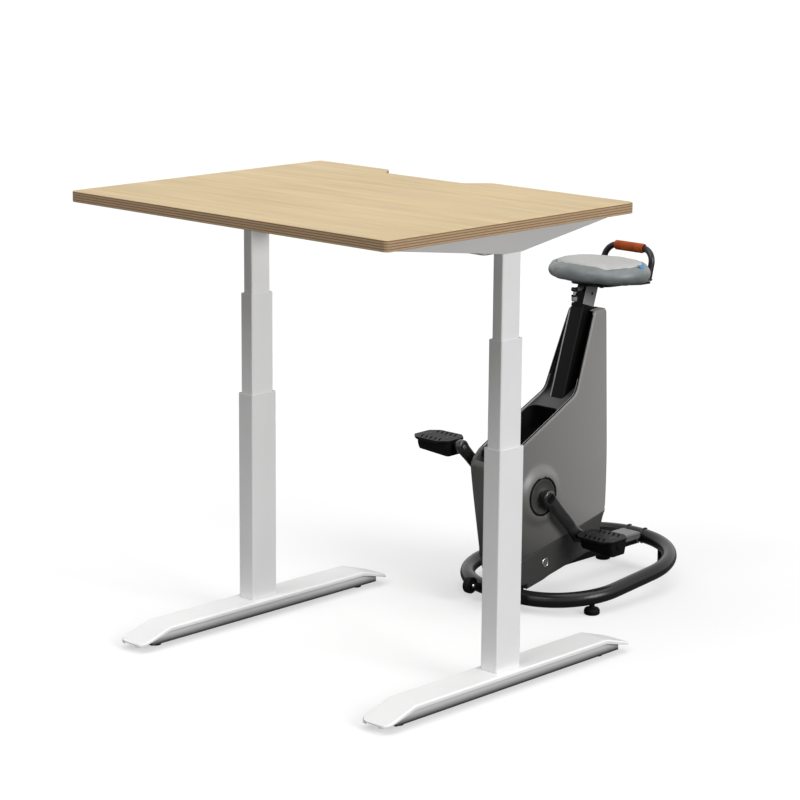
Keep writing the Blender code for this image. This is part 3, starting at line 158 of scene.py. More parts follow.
# Seat
CUSHION_LOW, CUSHION_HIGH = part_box("seat_cushion")
CUSHION_MIDDLE = (CUSHION_LOW + CUSHION_HIGH) / 2
CUSHION_HALF = (CUSHION_HIGH - CUSHION_LOW) / 2
CUSHION_VOXEL = 0.0045
SWELL_PRESSURE, SWELL_FRAMES, SWELL_LIMIT = 4.0, 20, 0.005
SEAT_Y = 0.291
SEAT_BOTTOM = 0.783
SEAT_HEIGHT = 0.055
SEAT_HALF_WIDTH, SEAT_HALF_DEPTH = 0.136, 0.119
SEAT_TURN = Matrix.Rotation(math.radians(-1.5), 3, "X")
PANEL_REACH = 0.845
PANEL_DIP = 0.065
HANDLE_HALF_WIDTH, HANDLE_BEND, HANDLE_TOP = 0.0775, 0.036, 0.859
HANDLE_RADIUS, HANDLE_BACK, HANDLE_LEAN = 0.008, 0.1025, 0.020
GRIP_HALF, GRIP_RADIUS, GRIP_SEAM = 0.046, 0.0118, math.radians(-112)
LEVER_PIVOT = (0.194, 0.7735)


# Shader nodes

class Tree:
    """A node tree, with short calls that add and wire its nodes."""

    def __init__(self, tree):
        self.tree = tree

    def wire(self, socket, value):
        if isinstance(value, bpy.types.NodeSocket):
            self.tree.links.new(value, socket)
        else:
            socket.default_value = value

    def add(self, kind, inputs, **settings):
        node = self.tree.nodes.new(f"ShaderNode{kind}")
        for key, value in settings.items():
            setattr(node, key, value)
        for key, value in inputs.items():
            self.wire(node.inputs[key], value)
        return node

    def math(self, operation, a, b=0.0, c=0.0):
        return self.add("Math", {0: a, 1: b, 2: c}, operation=operation).outputs["Value"]

    def vector(self, operation, a, b=(0, 0, 0)):
        return self.add("VectorMath", {0: a, 1: b}, operation=operation).outputs

    def span(self, value, low, high, to_low=0.0, to_high=1.0):
        """Map a value from one range to another, held at the ends."""
        inputs = {"Value": value, "From Min": low, "From Max": high, "To Min": to_low, "To Max": to_high}
        return self.add("MapRange", inputs).outputs["Result"]

    def mix(self, share, first, second):
        """Blend two colours."""
        ends = [part if isinstance(part, bpy.types.NodeSocket) else (*part, 1.0) for part in (first, second)]
        return self.add("Mix", {0: share, 6: ends[0], 7: ends[1]}, data_type="RGBA").outputs[2]


class Paint(Tree):
    """A Principled material."""

    def __init__(self, name, colour, roughness, metallic=0.0, specular=0.5):
        self.material = bpy.data.materials.new(name)
        self.material.use_nodes = True
        super().__init__(self.material.node_tree)
        self.shader = self.tree.nodes["Principled BSDF"]
        self.set("Base Color", (*colour, 1.0))
        self.set("Roughness", roughness)
        self.set("Metallic", metallic)
        self.set("Specular IOR Level", specular)

    def set(self, socket, value):
        self.wire(self.shader.inputs[socket], value)

    def place(self, stretch=(1, 1, 1)):
        where = self.add("TexCoord", {}).outputs["Object"]
        return self.add("Mapping", {"Vector": where, "Scale": stretch}).outputs["Vector"]

    def axis(self, letter, kind="Object"):
        """One part of the place on the object, or of the normal there."""
        return self.add("SeparateXYZ", {0: self.add("TexCoord", {}).outputs[kind]}).outputs[letter]

    def noise(self, scale, detail=3.0, stretch=(1, 1, 1)):
        inputs = {"Vector": self.place(stretch), "Scale": scale, "Detail": detail}
        return self.add("TexNoise", inputs).outputs["Fac"]

    def pebbles(self, scale):
        return self.add("TexVoronoi", {"Vector": self.place(), "Scale": scale}).outputs["Distance"]

    def bump(self, height, strength, distance):
        inputs = {"Height": height, "Strength": strength, "Distance": distance}
        self.set("Normal", self.add("Bump", inputs).outputs["Normal"])


def grey(value):
    return (value, value, value)


def birch():
    """Clear-lacquered birch ply: pale faces with faint figure, and the veneers' ends round the edge."""
    paint = Paint("birch", (0.71, 0.57, 0.36), 0.42, specular=0.20)
    clouds = paint.noise(1.0, 2.0, (2.2, 5.0, 1.0))
    figure = paint.noise(1.0, 5.0, (3.0, 34.0, 1.0))
    pores = paint.noise(1.0, 2.0, (26.0, 620.0, 1.0))
    face = paint.mix(paint.span(figure, 0.35, 0.68), (0.500, 0.362, 0.176), (0.655, 0.508, 0.285))
    face = paint.mix(paint.span(clouds, 0.35, 0.65, 0.0, 0.35), face, (0.635, 0.500, 0.290))
    face = paint.mix(paint.span(pores, 0.60, 0.72, 0.0, 0.30), face, (0.36, 0.235, 0.11))
    veneer = (BOARD_HIGH.z - BOARD_LOW.z) / PLY_LAYERS
    layer = paint.math("DIVIDE", paint.math("SUBTRACT", paint.axis("Z"), BOARD_LOW.z), veneer)
    turn = paint.math("PINGPONG", layer, 1.0)
    glue = paint.math("PINGPONG", paint.math("FRACT", layer), 0.5)
    streaks = paint.noise(1.0, 4.0, (60.0, 60.0, 900.0))
    ends = paint.mix(paint.span(turn, 0.42, 0.58), (0.30, 0.185, 0.105), (0.60, 0.44, 0.27))
    ends = paint.mix(paint.span(streaks, 0.3, 0.7, 0.0, 0.35), ends, (0.25, 0.15, 0.085))
    ends = paint.mix(paint.span(glue, 0.03, 0.10, 0.75, 0.0), ends, (0.12, 0.065, 0.035))
    level = paint.math("ABSOLUTE", paint.axis("Z", "Normal"))
    paint.set("Base Color", paint.mix(paint.span(level, 0.45, 0.60), ends, face))
    paint.set("Roughness", paint.span(figure, 0.3, 0.7, 0.40, 0.52))
    paint.bump(pores, 0.10, 0.0004)
    return paint.material


def coated(name, colour, roughness, relief=0.05, specular=0.5, fine=900.0, broad=6.0, detail=2.0,
           darker=0.96, patchy=0.30, gloss=(0.04, 0.05)):
    """Powder-coated or sprayed steel: even colour, slight orange peel."""
    paint = Paint(name, colour, roughness, specular=specular)
    peel = paint.noise(fine, detail)
    clouds = paint.span(paint.noise(broad, detail), patchy, 1 - patchy)
    paint.set("Base Color", paint.mix(clouds, [darker * part for part in colour], colour))
    paint.set("Roughness", paint.span(peel, 0.3, 0.7, roughness - gloss[0], roughness + gloss[1]))
    paint.bump(peel, relief, 0.0003)
    return paint.material


def moulded(name, colour, roughness, relief=0.10, specular=0.5):
    """Moulded plastic with a fine spark texture and a little unevenness in its gloss."""
    return coated(name, colour, roughness, relief, specular, 2200.0, 9.0, 3.0, 0.90, 0.35, (0.05, 0.06))


def shell_plastic():
    """Warm grey moulded plastic of the housing, with painted light that lightens it towards the rider and
    painted shade that darkens it at its foot.
    """
    paint = Paint("shell_grey", (0.20, 0.196, 0.19), 0.36)
    fine = paint.noise(2200.0, 3.0)
    rearward = paint.axis("Y")
    # Painted light: the housing lightens towards the rider.
    share = paint.span(rearward, BIKE.y - 0.12, BIKE.y + 0.27)
    tone = paint.mix(share, (0.140, 0.138, 0.134), (0.272, 0.267, 0.259))
    # Painted shade: the housing darkens towards its foot.
    rise = paint.math("ADD", paint.axis("Z"), paint.math("MULTIPLY", rearward, 0.5))
    foot = paint.span(rise, 0.5 * BIKE.y + 0.06, 0.5 * BIKE.y + 0.31)
    paint.set("Base Color", paint.mix(foot, (0.026, 0.026, 0.025), tone))
    paint.set("Roughness", paint.span(fine, 0.3, 0.7, 0.31, 0.42))
    paint.bump(fine, 0.10, 0.0003)
    return paint.material


def beam_steel():
    """Foot beams' white steel as a darker copy, with painted shade towards the floor and under the lip of
    the cap.
    """
    low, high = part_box("left_foot_beam")
    tall = high.z - low.z
    paint = Paint("shaded_beam_white", grey(0.62), 0.45, specular=0.30)
    height = paint.axis("Z")
    # Painted shade towards the floor and under the cap's lip.
    floor_shade = paint.span(height, low.z + 0.08 * tall, low.z + 0.50 * tall)
    lip_shade = paint.span(height, high.z - 0.08 * tall, high.z - 0.30 * tall)
    paint.set("Base Color", paint.mix(lip_shade, grey(0.20), paint.mix(floor_shade, grey(0.035), grey(0.62))))
    return paint.material


def metal(name, colour, roughness):
    """Bare steel with fine turning marks."""
    paint = Paint(name, colour, roughness, 1.0)
    marks = paint.noise(1.0, 3.0, (30.0, 600.0, 600.0))
    paint.set("Roughness", paint.span(marks, 0.3, 0.7, roughness - 0.06, roughness + 0.10))
    paint.bump(marks, 0.05, 0.0002)
    return paint.material


def vinyl():
    """Seat cover: a pale woven panel on top, sewn in, and blue-grey vinyl round the sides, with painted
    shade low on the sides and painted light at their front-left and rear-right ends.
    """
    paint = Paint("seat_vinyl", (0.24, 0.265, 0.27), 0.42)
    offset = paint.vector("SUBTRACT", paint.add("TexCoord", {}).outputs["Object"], CUSHION_MIDDLE)[0]
    share = paint.vector("MULTIPLY", offset, (1 / CUSHION_HALF.x, 1 / CUSHION_HALF.y, 0.0))[0]
    reach = paint.vector("LENGTH", share)["Value"]
    rearward = paint.vector("DOT_PRODUCT", share, (0, 1, 0))["Value"]
    forward = paint.math("DIVIDE", rearward, paint.math("MAXIMUM", reach, 0.01))
    dip = paint.add("MapRange", {"Value": forward, "From Min": -0.72, "From Max": -1.0, "To Max": PANEL_DIP},
                    interpolation_type="SMOOTHSTEP").outputs["Result"]
    seam = paint.math("ADD", reach, dip)
    height = paint.axis("Z")
    above = paint.span(height, CUSHION_MIDDLE.z, CUSHION_MIDDLE.z + 0.002)
    panel = paint.math("MULTIPLY", paint.span(seam, PANEL_REACH + 0.004, PANEL_REACH - 0.004), above)
    grain = paint.pebbles(620.0)
    threads = [paint.math("SINE", paint.math("MULTIPLY", paint.axis(letter), 3400.0)) for letter in "XY"]
    weave = paint.math("MULTIPLY", *threads)
    cloth = paint.mix(paint.span(weave, -0.8, 0.8), (0.40, 0.40, 0.39), (0.50, 0.495, 0.48))
    side = paint.mix(paint.span(grain, 0.1, 0.6), (0.130, 0.147, 0.150), (0.168, 0.187, 0.190))
    # Painted shade: the sides darken towards the cushion's underside.
    low = paint.span(height, CUSHION_LOW.z + 0.006, CUSHION_LOW.z + 0.022)
    side_shading = paint.mix(low, (0.062, 0.069, 0.070), side)
    # Painted light: the sides lighten towards the front-left and rear-right ends.
    across = paint.vector("DOT_PRODUCT", share, (0.707, 0.707, 0.0))["Value"]
    ends = paint.span(paint.math("ABSOLUTE", across), 0.72, 1.02, 0.0, 0.85)
    side_shading = paint.mix(ends, side_shading, (0.27, 0.275, 0.27))
    off_seam = paint.math("ABSOLUTE", paint.math("SUBTRACT", seam, PANEL_REACH))
    thread = paint.math("MULTIPLY", paint.span(off_seam, 0.016, 0.007), above)
    paint.set("Base Color", paint.mix(thread, paint.mix(panel, side_shading, cloth), (0.11, 0.115, 0.115)))
    paint.set("Roughness", paint.span(panel, 0.0, 1.0, 0.42, 0.78))
    paint.bump(paint.add("Mix", {0: panel, 2: grain, 3: weave}).outputs[0], 0.25, 0.0003)
    return paint.material


def leather():
    """Tan leather with pebbled grain and darker handled patches."""
    paint = Paint("tan_leather", (0.42, 0.12, 0.03), 0.50, specular=0.20)
    grain = paint.pebbles(480.0)
    worn = paint.noise(28.0, 4.0)
    tone = paint.mix(paint.span(worn, 0.35, 0.65), (0.28, 0.042, 0.005), (0.44, 0.084, 0.010))
    tone = paint.mix(paint.span(grain, 0.0, 0.25, 0.35, 0.0), tone, (0.20, 0.05, 0.015))
    paint.set("Base Color", tone)
    paint.set("Roughness", paint.span(worn, 0.3, 0.7, 0.40, 0.56))
    paint.bump(grain, 0.30, 0.0005)
    return paint.material


def slot_of(material):
    """A material's name without the number that sets it apart from a packed one."""
    return material.name.split(".")[0]


PAINTS = {slot_of(made): made for made in (
    birch(),
    shell_plastic(),
    beam_steel(),
    vinyl(),
    leather(),
    coated("white_steel", grey(0.83), 0.42),
    # Darker copy of the white steel for the brackets and crossbeam: painted shade.
    coated("shaded_bracket_white", grey(0.50), 0.45),
    coated("black_steel", grey(0.006), 0.24, 0.05, 0.35),
    coated("loop_steel", grey(0.009), 0.26, 0.05, 0.32),
    coated("arm_black", grey(0.016), 0.20, 0.03, 0.75),
    coated("frame_black", grey(0.004), 0.45, 0.05, 0.12),
    coated("cover_grey", grey(0.12), 0.34),
    coated("post_grey", grey(0.26), 0.36),
    # Light grey of the thin strips that paint highlights on the rim and the channel.
    coated("highlight_grey", grey(0.42), 0.30),
    metal("bright_steel", grey(0.62), 0.28),
    metal("cast_iron", (0.12, 0.12, 0.13), 0.45),
    moulded("grey_plastic", grey(0.26), 0.50),
    moulded("tray_grey", (0.070, 0.073, 0.072), 0.50, 0.10, 0.35),
    # Darker copy of the shell's grey for the skirt and the crank discs: painted shade.
    moulded("shaded_shell_grey", (0.052, 0.051, 0.050), 0.42, 0.10, 0.35),
    moulded("black_plastic", grey(0.005), 0.46, 0.15, 0.10),
    moulded("matt_black", grey(0.004), 0.60, 0.20, 0.08),
    moulded("rubber", grey(0.005), 0.60, 0.20, 0.08),
    moulded("belt_rubber", grey(0.02), 0.65, 0.20),
    moulded("blue_tab", (0.02, 0.24, 0.55), 0.55, 0.20),
    moulded("waxed_thread", (0.10, 0.035, 0.015), 0.60, 0.20),
)}


# Pieces

def mesh_of(name, shape):
    mesh = bpy.data.meshes.new(name)
    shape.to_mesh(mesh)
    shape.free()
    return mesh


def scene_object(name, data):
    made = bpy.data.objects.new(name, data)
    bpy.context.scene.collection.objects.link(made)
    return made


def piece(name, shape, slot, node, angle=40, paint=None):
    """Turn a bmesh into a piece that rides on a node's body, smooth over its rounds."""
    bmesh.ops.recalc_face_normals(shape, faces=shape.faces)
    mesh = mesh_of(name, shape)
    mesh.shade_smooth()
    mesh.set_sharp_from_angle(angle=math.radians(angle))
    mesh.materials.append(PAINTS[paint or slot])
    made = scene_object(name, mesh)
    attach(made, NODES[node]["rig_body"])
    return made


# Nodes that a piece is seen in place of
stood_for = set()


def stand_in(name, shape, slot, node, angle=40, paint=None):
    """A piece that is seen in a node's place."""
    made = piece(name, shape, slot, node, angle, paint)
    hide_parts(node)
    stood_for.add(node)
    return made


def fitting(name, profile, centre, axis, slot, node, steps=32, angle=40, paint=None):
    """A small turned piece."""
    return piece(name, turned(profile, centre, axis, steps), slot, node, angle, paint)


def modified(made, kind, **settings):
    """Give an object a modifier with these settings."""
    step = made.modifiers.new(kind.lower(), kind)
    for key, value in settings.items():
        setattr(step, key, value)
    return step


def applied(made):
    """Bake an object's modifiers into its mesh."""
    bpy.context.view_layer.update()
    seen = made.evaluated_get(bpy.context.evaluated_depsgraph_get())
    mesh = bpy.data.meshes.new_from_object(seen)
    made.modifiers.clear()
    made.data = mesh
    mesh.set_sharp_from_angle(angle=math.radians(35))


def carved(made, cutter_shape):
    """Cut a closed shape out of a piece for good."""
    bmesh.ops.recalc_face_normals(cutter_shape, faces=cutter_shape.faces)
    cutter = scene_object("cutter", mesh_of("cutter", cutter_shape))
    modified(made, "BOOLEAN", operation="DIFFERENCE", solver="EXACT", object=cutter)
    applied(made)
    bpy.data.objects.remove(cutter, do_unlink=True)


def refined(node):
    """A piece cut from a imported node's own shape, with its edges eased and its rounds smooth."""
    source = NODES[node]
    shape = bmesh.new()
    shape.from_mesh(source.data)
    bmesh.ops.remove_doubles(shape, verts=shape.verts, dist=0.00002)
    bmesh.ops.dissolve_limit(shape, angle_limit=math.radians(0.4), verts=shape.verts, edges=shape.edges)
    eased(shape, SOFT_EDGES.get(node, EDGE))
    slot = slot_of(source.material_slots[0].material)
    made = stand_in(f"{node}_finish", shape, slot, node, 35, REPAINTED.get(node))
    modified(made, "WEIGHTED_NORMAL", keep_sharp=True)


# Shapes

def smooth(share):
    share = min(1.0, max(0.0, share))
    return share * share * (3 - 2 * share)


def circle(radius, steps, middle=(0, 0)):
    turns = [2 * math.pi * step / steps for step in range(steps)]
    return [Vector(middle) + Vector((math.cos(t), math.sin(t))) * radius for t in turns]


def mirrored(corners):
    """Close the right half of an outline, (x, y, radius) from front to rear, with its left half."""
    return corners + [(-x, y, radius) for x, y, radius in reversed(corners)]


def filleted(corners, steps=8):
    """Round each corner (u, v, radius) of a closed outline with an arc."""
    points = []
    for index, (u, v, radius) in enumerate(corners):
        here = Vector((u, v))
        before = (Vector(corners[index - 1][:2]) - here).normalized()
        after = (Vector(corners[(index + 1) % len(corners)][:2]) - here).normalized()
        if radius <= 0:
            points.append(here)
            continue
        half = before.angle(after) / 2
        centre = here + (before + after).normalized() * radius / math.sin(half)
        start = here + before * radius / math.tan(half) - centre
        end = here + after * radius / math.tan(half) - centre
        sweep = start.angle_signed(end)
        for step in range(steps + 1):
            spoke = start.copy()
            spoke.rotate(Matrix.Rotation(-sweep * step / steps, 2))
            points.append(centre + spoke)
    return points


def stadium(start, end, width, steps=10):
    """Outline of a bar with round ends."""
    start, end = Vector(start), Vector(end)
    heading = math.atan2(end.y - start.y, end.x - start.x)
    points = []
    for middle, first in ((end, heading - math.pi / 2), (start, heading + math.pi / 2)):
        for step in range(steps + 1):
            turn = first + math.pi * step / steps
            points.append(middle + width / 2 * Vector((math.cos(turn), math.sin(turn))))
    return points


def bridged(shape, lower, upper):
    """Join two rings of vertices with faces; a ring may be a single point."""
    count = max(len(lower), len(upper))
    for index in range(count):
        following = (index + 1) % count
        corners = [lower[index % len(lower)], lower[following % len(lower)]]
        corners += [upper[following % len(upper)], upper[index % len(upper)]]
        shape.faces.new(list(dict.fromkeys(corners)))


def loft(rings, closed=False, shape=None):
    """Skin rings of equal count, in order, with flat ends or on to the first again."""
    shape = shape or bmesh.new()
    made = [[shape.verts.new(point) for point in ring] for ring in rings]
    for lower, upper in zip(made, made[1:]):
        bridged(shape, lower, upper)
    if closed:
        bridged(shape, made[-1], made[0])
    else:
        shape.faces.new(list(reversed(made[0])))
        shape.faces.new(made[-1])
    return shape


def turned(profile, centre, axis, steps=32, shape=None, ring=False):
    """Spin a (distance along, radius) profile round an axis: solid, or a ring of that section."""
    shape = shape or bmesh.new()
    if not ring:
        ends = [[(along, 0.0)] if radius else [] for along, radius in (profile[0], profile[-1])]
        profile = ends[0] + profile + ends[1]
    turn = Vector(UP).rotation_difference(Vector(axis)).to_matrix()
    rings = []
    for along, radius in profile:
        spokes = circle(radius, steps if radius else 1)
        rings.append([shape.verts.new(centre + turn @ Vector((*spoke, along))) for spoke in spokes])
    if ring:
        rings.append(rings[0])
    for lower, upper in zip(rings, rings[1:]):
        bridged(shape, lower, upper)
    return shape


def tube(points, radius, sides=24, closed=False, shape=None):
    """A round bar along a path, without twist."""
    count = len(points)
    tangents = []
    for index, point in enumerate(points):
        before = points[index - 1] if closed or index else point
        after = points[(index + 1) % count] if closed or index < count - 1 else point
        tangents.append((after - before).normalized())
    side = tangents[0].orthogonal().normalized()
    rings = []
    for point, tangent in zip(points, tangents):
        side = (side - tangent * side.dot(tangent)).normalized()
        other = tangent.cross(side)
        rings.append([point + side * u + other * v for u, v in circle(radius, sides)])
    return loft(rings, closed, shape)


def eased(shape, edge, angle=30):
    """Bevel every edge that turns by more than an angle."""
    if edge:
        sharp = [e for e in shape.edges if e.is_manifold and e.calc_face_angle() > math.radians(angle)]
        bmesh.ops.bevel(shape, geom=sharp, offset=edge, segments=2, profile=0.5, affect="EDGES",
                        clamp_overlap=True)
    return shape


def plate(outline, low, high, place, edge=0.0, shape=None):
    """Extrude a flat outline between two levels; place(u, v, w) gives a corner's spot."""
    made = eased(loft([[place(u, v, w) for u, v in outline] for w in (low, high)]), edge)
    if shape is None:
        return made
    shape.from_mesh(mesh_of("part", made))
    return shape


# Housing

def on_bike(x, y, z):
    return BIKE + Vector((x, y, z))


def half_width(y, z):
    """The housing narrows up the riser, and its sides are slightly crowned."""
    if z < TAPER_BLEND:
        run = max(0.0, z - TAPER_FROM) ** 2 / (2 * (TAPER_BLEND - TAPER_FROM))
    else:
        run = z - (TAPER_FROM + TAPER_BLEND) / 2
    share = run / (TAPER_TO - (TAPER_FROM + TAPER_BLEND) / 2)
    width = BODY_HALF_WIDTH + (BODY_TOP_HALF_WIDTH - BODY_HALF_WIDTH) * share
    return width - min(0.007, 0.0035 * ((y - 0.12) / 0.2) ** 2)


def boss_height(y, z):
    """Smooth swelling of the side round the crank."""
    reach = math.hypot(y, z - CRANK.z)
    return BOSS_HEIGHT * smooth((BOSS_OUTER - reach) / (BOSS_OUTER - BOSS_INNER))


def seam_height(y):
    share = (y - SEAM_FRONT[0]) / (SEAM_REAR[0] - SEAM_FRONT[0])
    return SEAM_FRONT[1] + share * (SEAM_REAR[1] - SEAM_FRONT[1])


def body_outline(notched):
    """Side view of the housing; the skirt's lower front corner is notched round the floor tube."""
    corners = [(-0.048, 0.047, 0.014)]
    if notched:
        corners = [(-0.0589, 0.063, 0), (-0.034, 0.063, 0), (-0.034, 0.0499, 0)]
    corners += [
        (0.195, 0.097, 0.030), (0.233, 0.097, 0.020), (0.264, 0.215, 0.100), (0.2755, 0.724, 0.012),
        (0.2255, 0.720, 0.012), (0.146, 0.520, 0.040), (-0.095, 0.4037, 0.030), (-0.129, 0.372, 0.030),
        (-0.076, 0.088, 0.025),
    ]
    return filleted(corners)


def housing_outline(above):
    """The side view's part above or below the shut line, with evenly spaced points."""
    def side(point):
        return (point.y - seam_height(point.x)) * (1 if above else -1) - SEAM_GAP

    points = body_outline(notched=not above)
    kept = []
    for point, following in zip(points, points[1:] + points[:1]):
        here, there = side(point), side(following)
        if here >= 0:
            kept.append(point)
        if here * there < 0:
            kept.append(point.lerp(following, here / (here - there)))
    even = []
    for point, following in zip(kept, kept[1:] + kept[:1]):
        steps = max(1, round((following - point).length / PANEL_GRID))
        even.extend(point.lerp(following, step / steps) for step in range(steps))
    return even


def inward_normals(points):
    normals = []
    for index, point in enumerate(points):
        before = (point - points[index - 1]).normalized()
        after = (points[(index + 1) % len(points)] - point).normalized()
        normal = Vector((-before.y - after.y, before.x + after.x)).normalized()
        normals.append(normal / max(0.5, normal.dot(Vector((-after.y, after.x)))))
    return normals


def inside(polygon, points):
    """Which of an array of points lie inside a polygon."""
    found = np.zeros(len(points), bool)
    for start, end in zip(polygon, np.roll(polygon, -1, axis=0)):
        crosses = (start[1] > points[:, 1]) != (end[1] > points[:, 1])
        slope = (end[0] - start[0]) / ((end[1] - start[1]) or 1e-12)
        found ^= crosses & (points[:, 0] < (points[:, 1] - start[1]) * slope + start[0])
    return found


def clearance(polygon, points):
    """Distance of each point from a polygon's edge."""
    nearest = np.full(len(points), np.inf)
    for start, end in zip(polygon, np.roll(polygon, -1, axis=0)):
        along = end - start
        share = np.clip((points - start) @ along / max(along @ along, 1e-12), 0, 1)
        nearest = np.minimum(nearest, np.linalg.norm(points - start - share[:, None] * along, axis=1))
    return nearest


def sections(points, rule):
    """Edge radius, wall and lip along an outline, as rule(y, z, on_seam) has them, edges blended."""
    edges, walls, lips = zip(*[rule(y, z, abs(z - seam_height(y)) < 0.0006) for y, z in points])
    for _ in range(2):
        edges = [(edges[i - 1] + 2 * edges[i] + edges[(i + 1) % len(edges)]) / 4 for i in range(len(edges))]
    return edges, walls, lips


def panel_points(border, hole):
    """Points of a side's panel, its border first, and the edges that its faces keep."""
    low, high = border.min(0), border.max(0)
    grid = np.meshgrid(np.arange(low[0], high[0], PANEL_GRID), np.arange(low[1], high[1], PANEL_GRID))
    free = np.column_stack([part.ravel() for part in grid])
    free = free[inside(border, free)]
    free = free[clearance(border, free) > PANEL_MARGIN]
    count = len(border)
    kept = [(index, (index + 1) % count) for index in range(count)]
    rings = []
    if hole:
        free = free[np.hypot(free[:, 0], free[:, 1] - CRANK.z) > BOSS_OUTER + PANEL_MARGIN]
        turns = np.linspace(0, 2 * math.pi, BOSS_STEPS, endpoint=False)
        for radius in np.linspace(hole, BOSS_OUTER, 9):
            rings.append(np.column_stack([radius * np.cos(turns), CRANK.z + radius * np.sin(turns)]))
        kept += [(count + index, count + (index + 1) % BOSS_STEPS) for index in range(BOSS_STEPS)]
    return np.vstack([border, *rings, free]), kept


def half_housing(points, section, sign, shape, hole=0.0, lean=lambda y, z: 0.0):
    """One moulded side: the crowned panel, its rounded edge, the wall to the middle and the lip inside."""
    edges, walls, lips = section
    normals = inward_normals(points)

    def surface(y, z):
        return half_width(y, z) + (boss_height(y, z) if hole else 0.0) - lean(y, z)

    def lifted(point, x):
        return shape.verts.new(on_bike(sign * x, point.x, point.y))

    rings = []
    for turn in (90, 67.5, 45, 22.5, 0):
        flat, up = 1 - math.cos(math.radians(turn)), 1 - math.sin(math.radians(turn))
        spots = [point + normal * edge * flat for point, normal, edge in zip(points, normals, edges)]
        rings.append([(at, surface(*at) - edge * up) for at, edge in zip(spots, edges)])
    rings.append(list(zip(points, walls)))
    inner = [point + normal * lip for point, normal, lip in zip(points, normals, lips)]
    rings.append(list(zip(inner, walls)))
    made = [[lifted(at, x) for at, x in ring] for ring in rings]
    for lower, upper in zip(made, made[1:]):
        bridged(shape, lower, upper)

    border = np.array([at[:] for at, _ in rings[0]])
    scattered, kept = panel_points(border, hole)
    verts, _, faces, origins = delaunay_2d_cdt([Vector(p) for p in scattered], kept, [], 0, 1e-7)[:4]
    here = []
    for vert, origin in zip(verts, origins):
        known = [o for o in origin if o < len(border)]
        here.append(made[0][known[0]] if known else lifted(vert, surface(*vert)))
    centres = np.array([np.mean([verts[i][:] for i in face], axis=0) for face in faces])
    wanted = inside(border, centres)
    wanted &= np.hypot(centres[:, 0], centres[:, 1] - CRANK.z) > 0.995 * hole
    for face in np.flatnonzero(wanted):
        shape.faces.new([here[i] for i in faces[face]])
    if hole:
        steps = range(len(border), len(border) + BOSS_STEPS)
        rim = [here[next(k for k, origin in enumerate(origins) if step in origin)] for step in steps]
        floor = surface(hole, CRANK.z) - BOSS_HEIGHT + RECESS_FLOOR
        for radius in (hole, HUB_RADIUS):
            sunk = [lifted(at, floor) for at in circle(radius, BOSS_STEPS, (0, CRANK.z))]
            bridged(shape, rim, sunk)
            rim = sunk


def shells():
    """Left and right housing halves, open along the tray and the riser."""
    def rule(y, z, on_seam):
        if on_seam:
            return SEAM_EDGE, half_width(y, z) - SEAM_INSET, SHELL_WALL
        if z > 0.378 and y < 0.2275:
            return RIM_EDGE, half_width(y, z) - RIM_WIDTH, RIM_LIP
        if z > 0.70 and y < 0.268:
            return RIM_EDGE, TUBE_HALF, SHELL_WALL
        return SIDE_EDGE, 0.0002, SHELL_WALL

    outline = housing_outline(above=True)
    for side, sign in SIDES:
        shape = bmesh.new()
        half_housing(outline, sections(outline, rule), sign, shape, RECESS_RADIUS)
        made = stand_in(f"{side}_shell_finish", shape, "shell_grey", f"{side}_shell", 50)
        modified(made, "SOLIDIFY", thickness=SHELL_SHEET, offset=-1)


def skirt():
    """Lower skirt below the shut line, drawn in a little towards the floor, and its plain disc."""
    def rule(y, z, on_seam):
        if on_seam:
            return SEAM_EDGE, half_width(y, z) - SEAM_INSET, SHELL_WALL
        under = z < 0.0985 and y > -0.060
        return 0.003 if z < 0.064 else SIDE_EDGE, 0.0265 if under else 0.0, SHELL_WALL

    def lean(y, z):
        return 0.06 * max(0.0, seam_height(y) - z)

    outline = housing_outline(above=False)
    shape = bmesh.new()
    for sign in (-1, 1):
        half_housing(outline, sections(outline, rule), sign, shape, 0.0, lean)
    bmesh.ops.remove_doubles(shape, verts=shape.verts, dist=0.00001)
    # The skirt takes a darker copy of the shell's grey: painted shade.
    made = stand_in("lower_skirt_finish", shape, "shell_grey", "lower_skirt", 50, "shaded_shell_grey")
    modified(made, "SOLIDIFY", thickness=SHELL_SHEET, offset=-1)
    y, z = BADGE_SPOT
    rim = [(-0.004, 0.0), (0.0004, 0.0), (0.0012, 0.0010), (0.0012, 0.0028), (0.0007, 0.0034)]
    disc = [(out, BADGE_RADIUS - inset) for out, inset in rim]
    centre = on_bike(half_width(y, z) - lean(y, z), y, z)
    fitting("skirt_disc", disc, centre, ACROSS, "bright_steel", "lower_skirt", 48, 30)


def rim_trim():
    """Thin beads along each open edge, from the nose up the tray and the riser to the neck: a black one,
    painted shade of the groove, and a light grey one down the slope, a painted highlight.
    """
    bends = filleted([(-0.086, 0.4080, 0.0), (0.146, 0.520, 0.040), (0.2240, 0.7160, 0.0)])
    run = []
    for start, end in zip(bends, bends[1:]):
        steps = max(1, round((end - start).length / 0.006))
        run += [start.lerp(end, step / steps) for step in range(steps)]
    slope = [point for point in run if point.y < 0.560]
    # The black bead paints the groove's shade, the grey bead a highlight on the lip.
    beads = (("rim_bead", run, 0.0012, 0.0017, "matt_black"),
             ("lip_bead", slope, -0.0014, 0.0011, "highlight_grey"))
    for name, line, inset, radius, paint in beads:
        for side, sign in SIDES:
            path = [on_bike(sign * (half_width(*point) - RIM_WIDTH + inset), *point) for point in line]
            piece(f"{side}_{name}", tube(path, radius, 10), "tray_grey", f"{side}_shell", 60, paint)


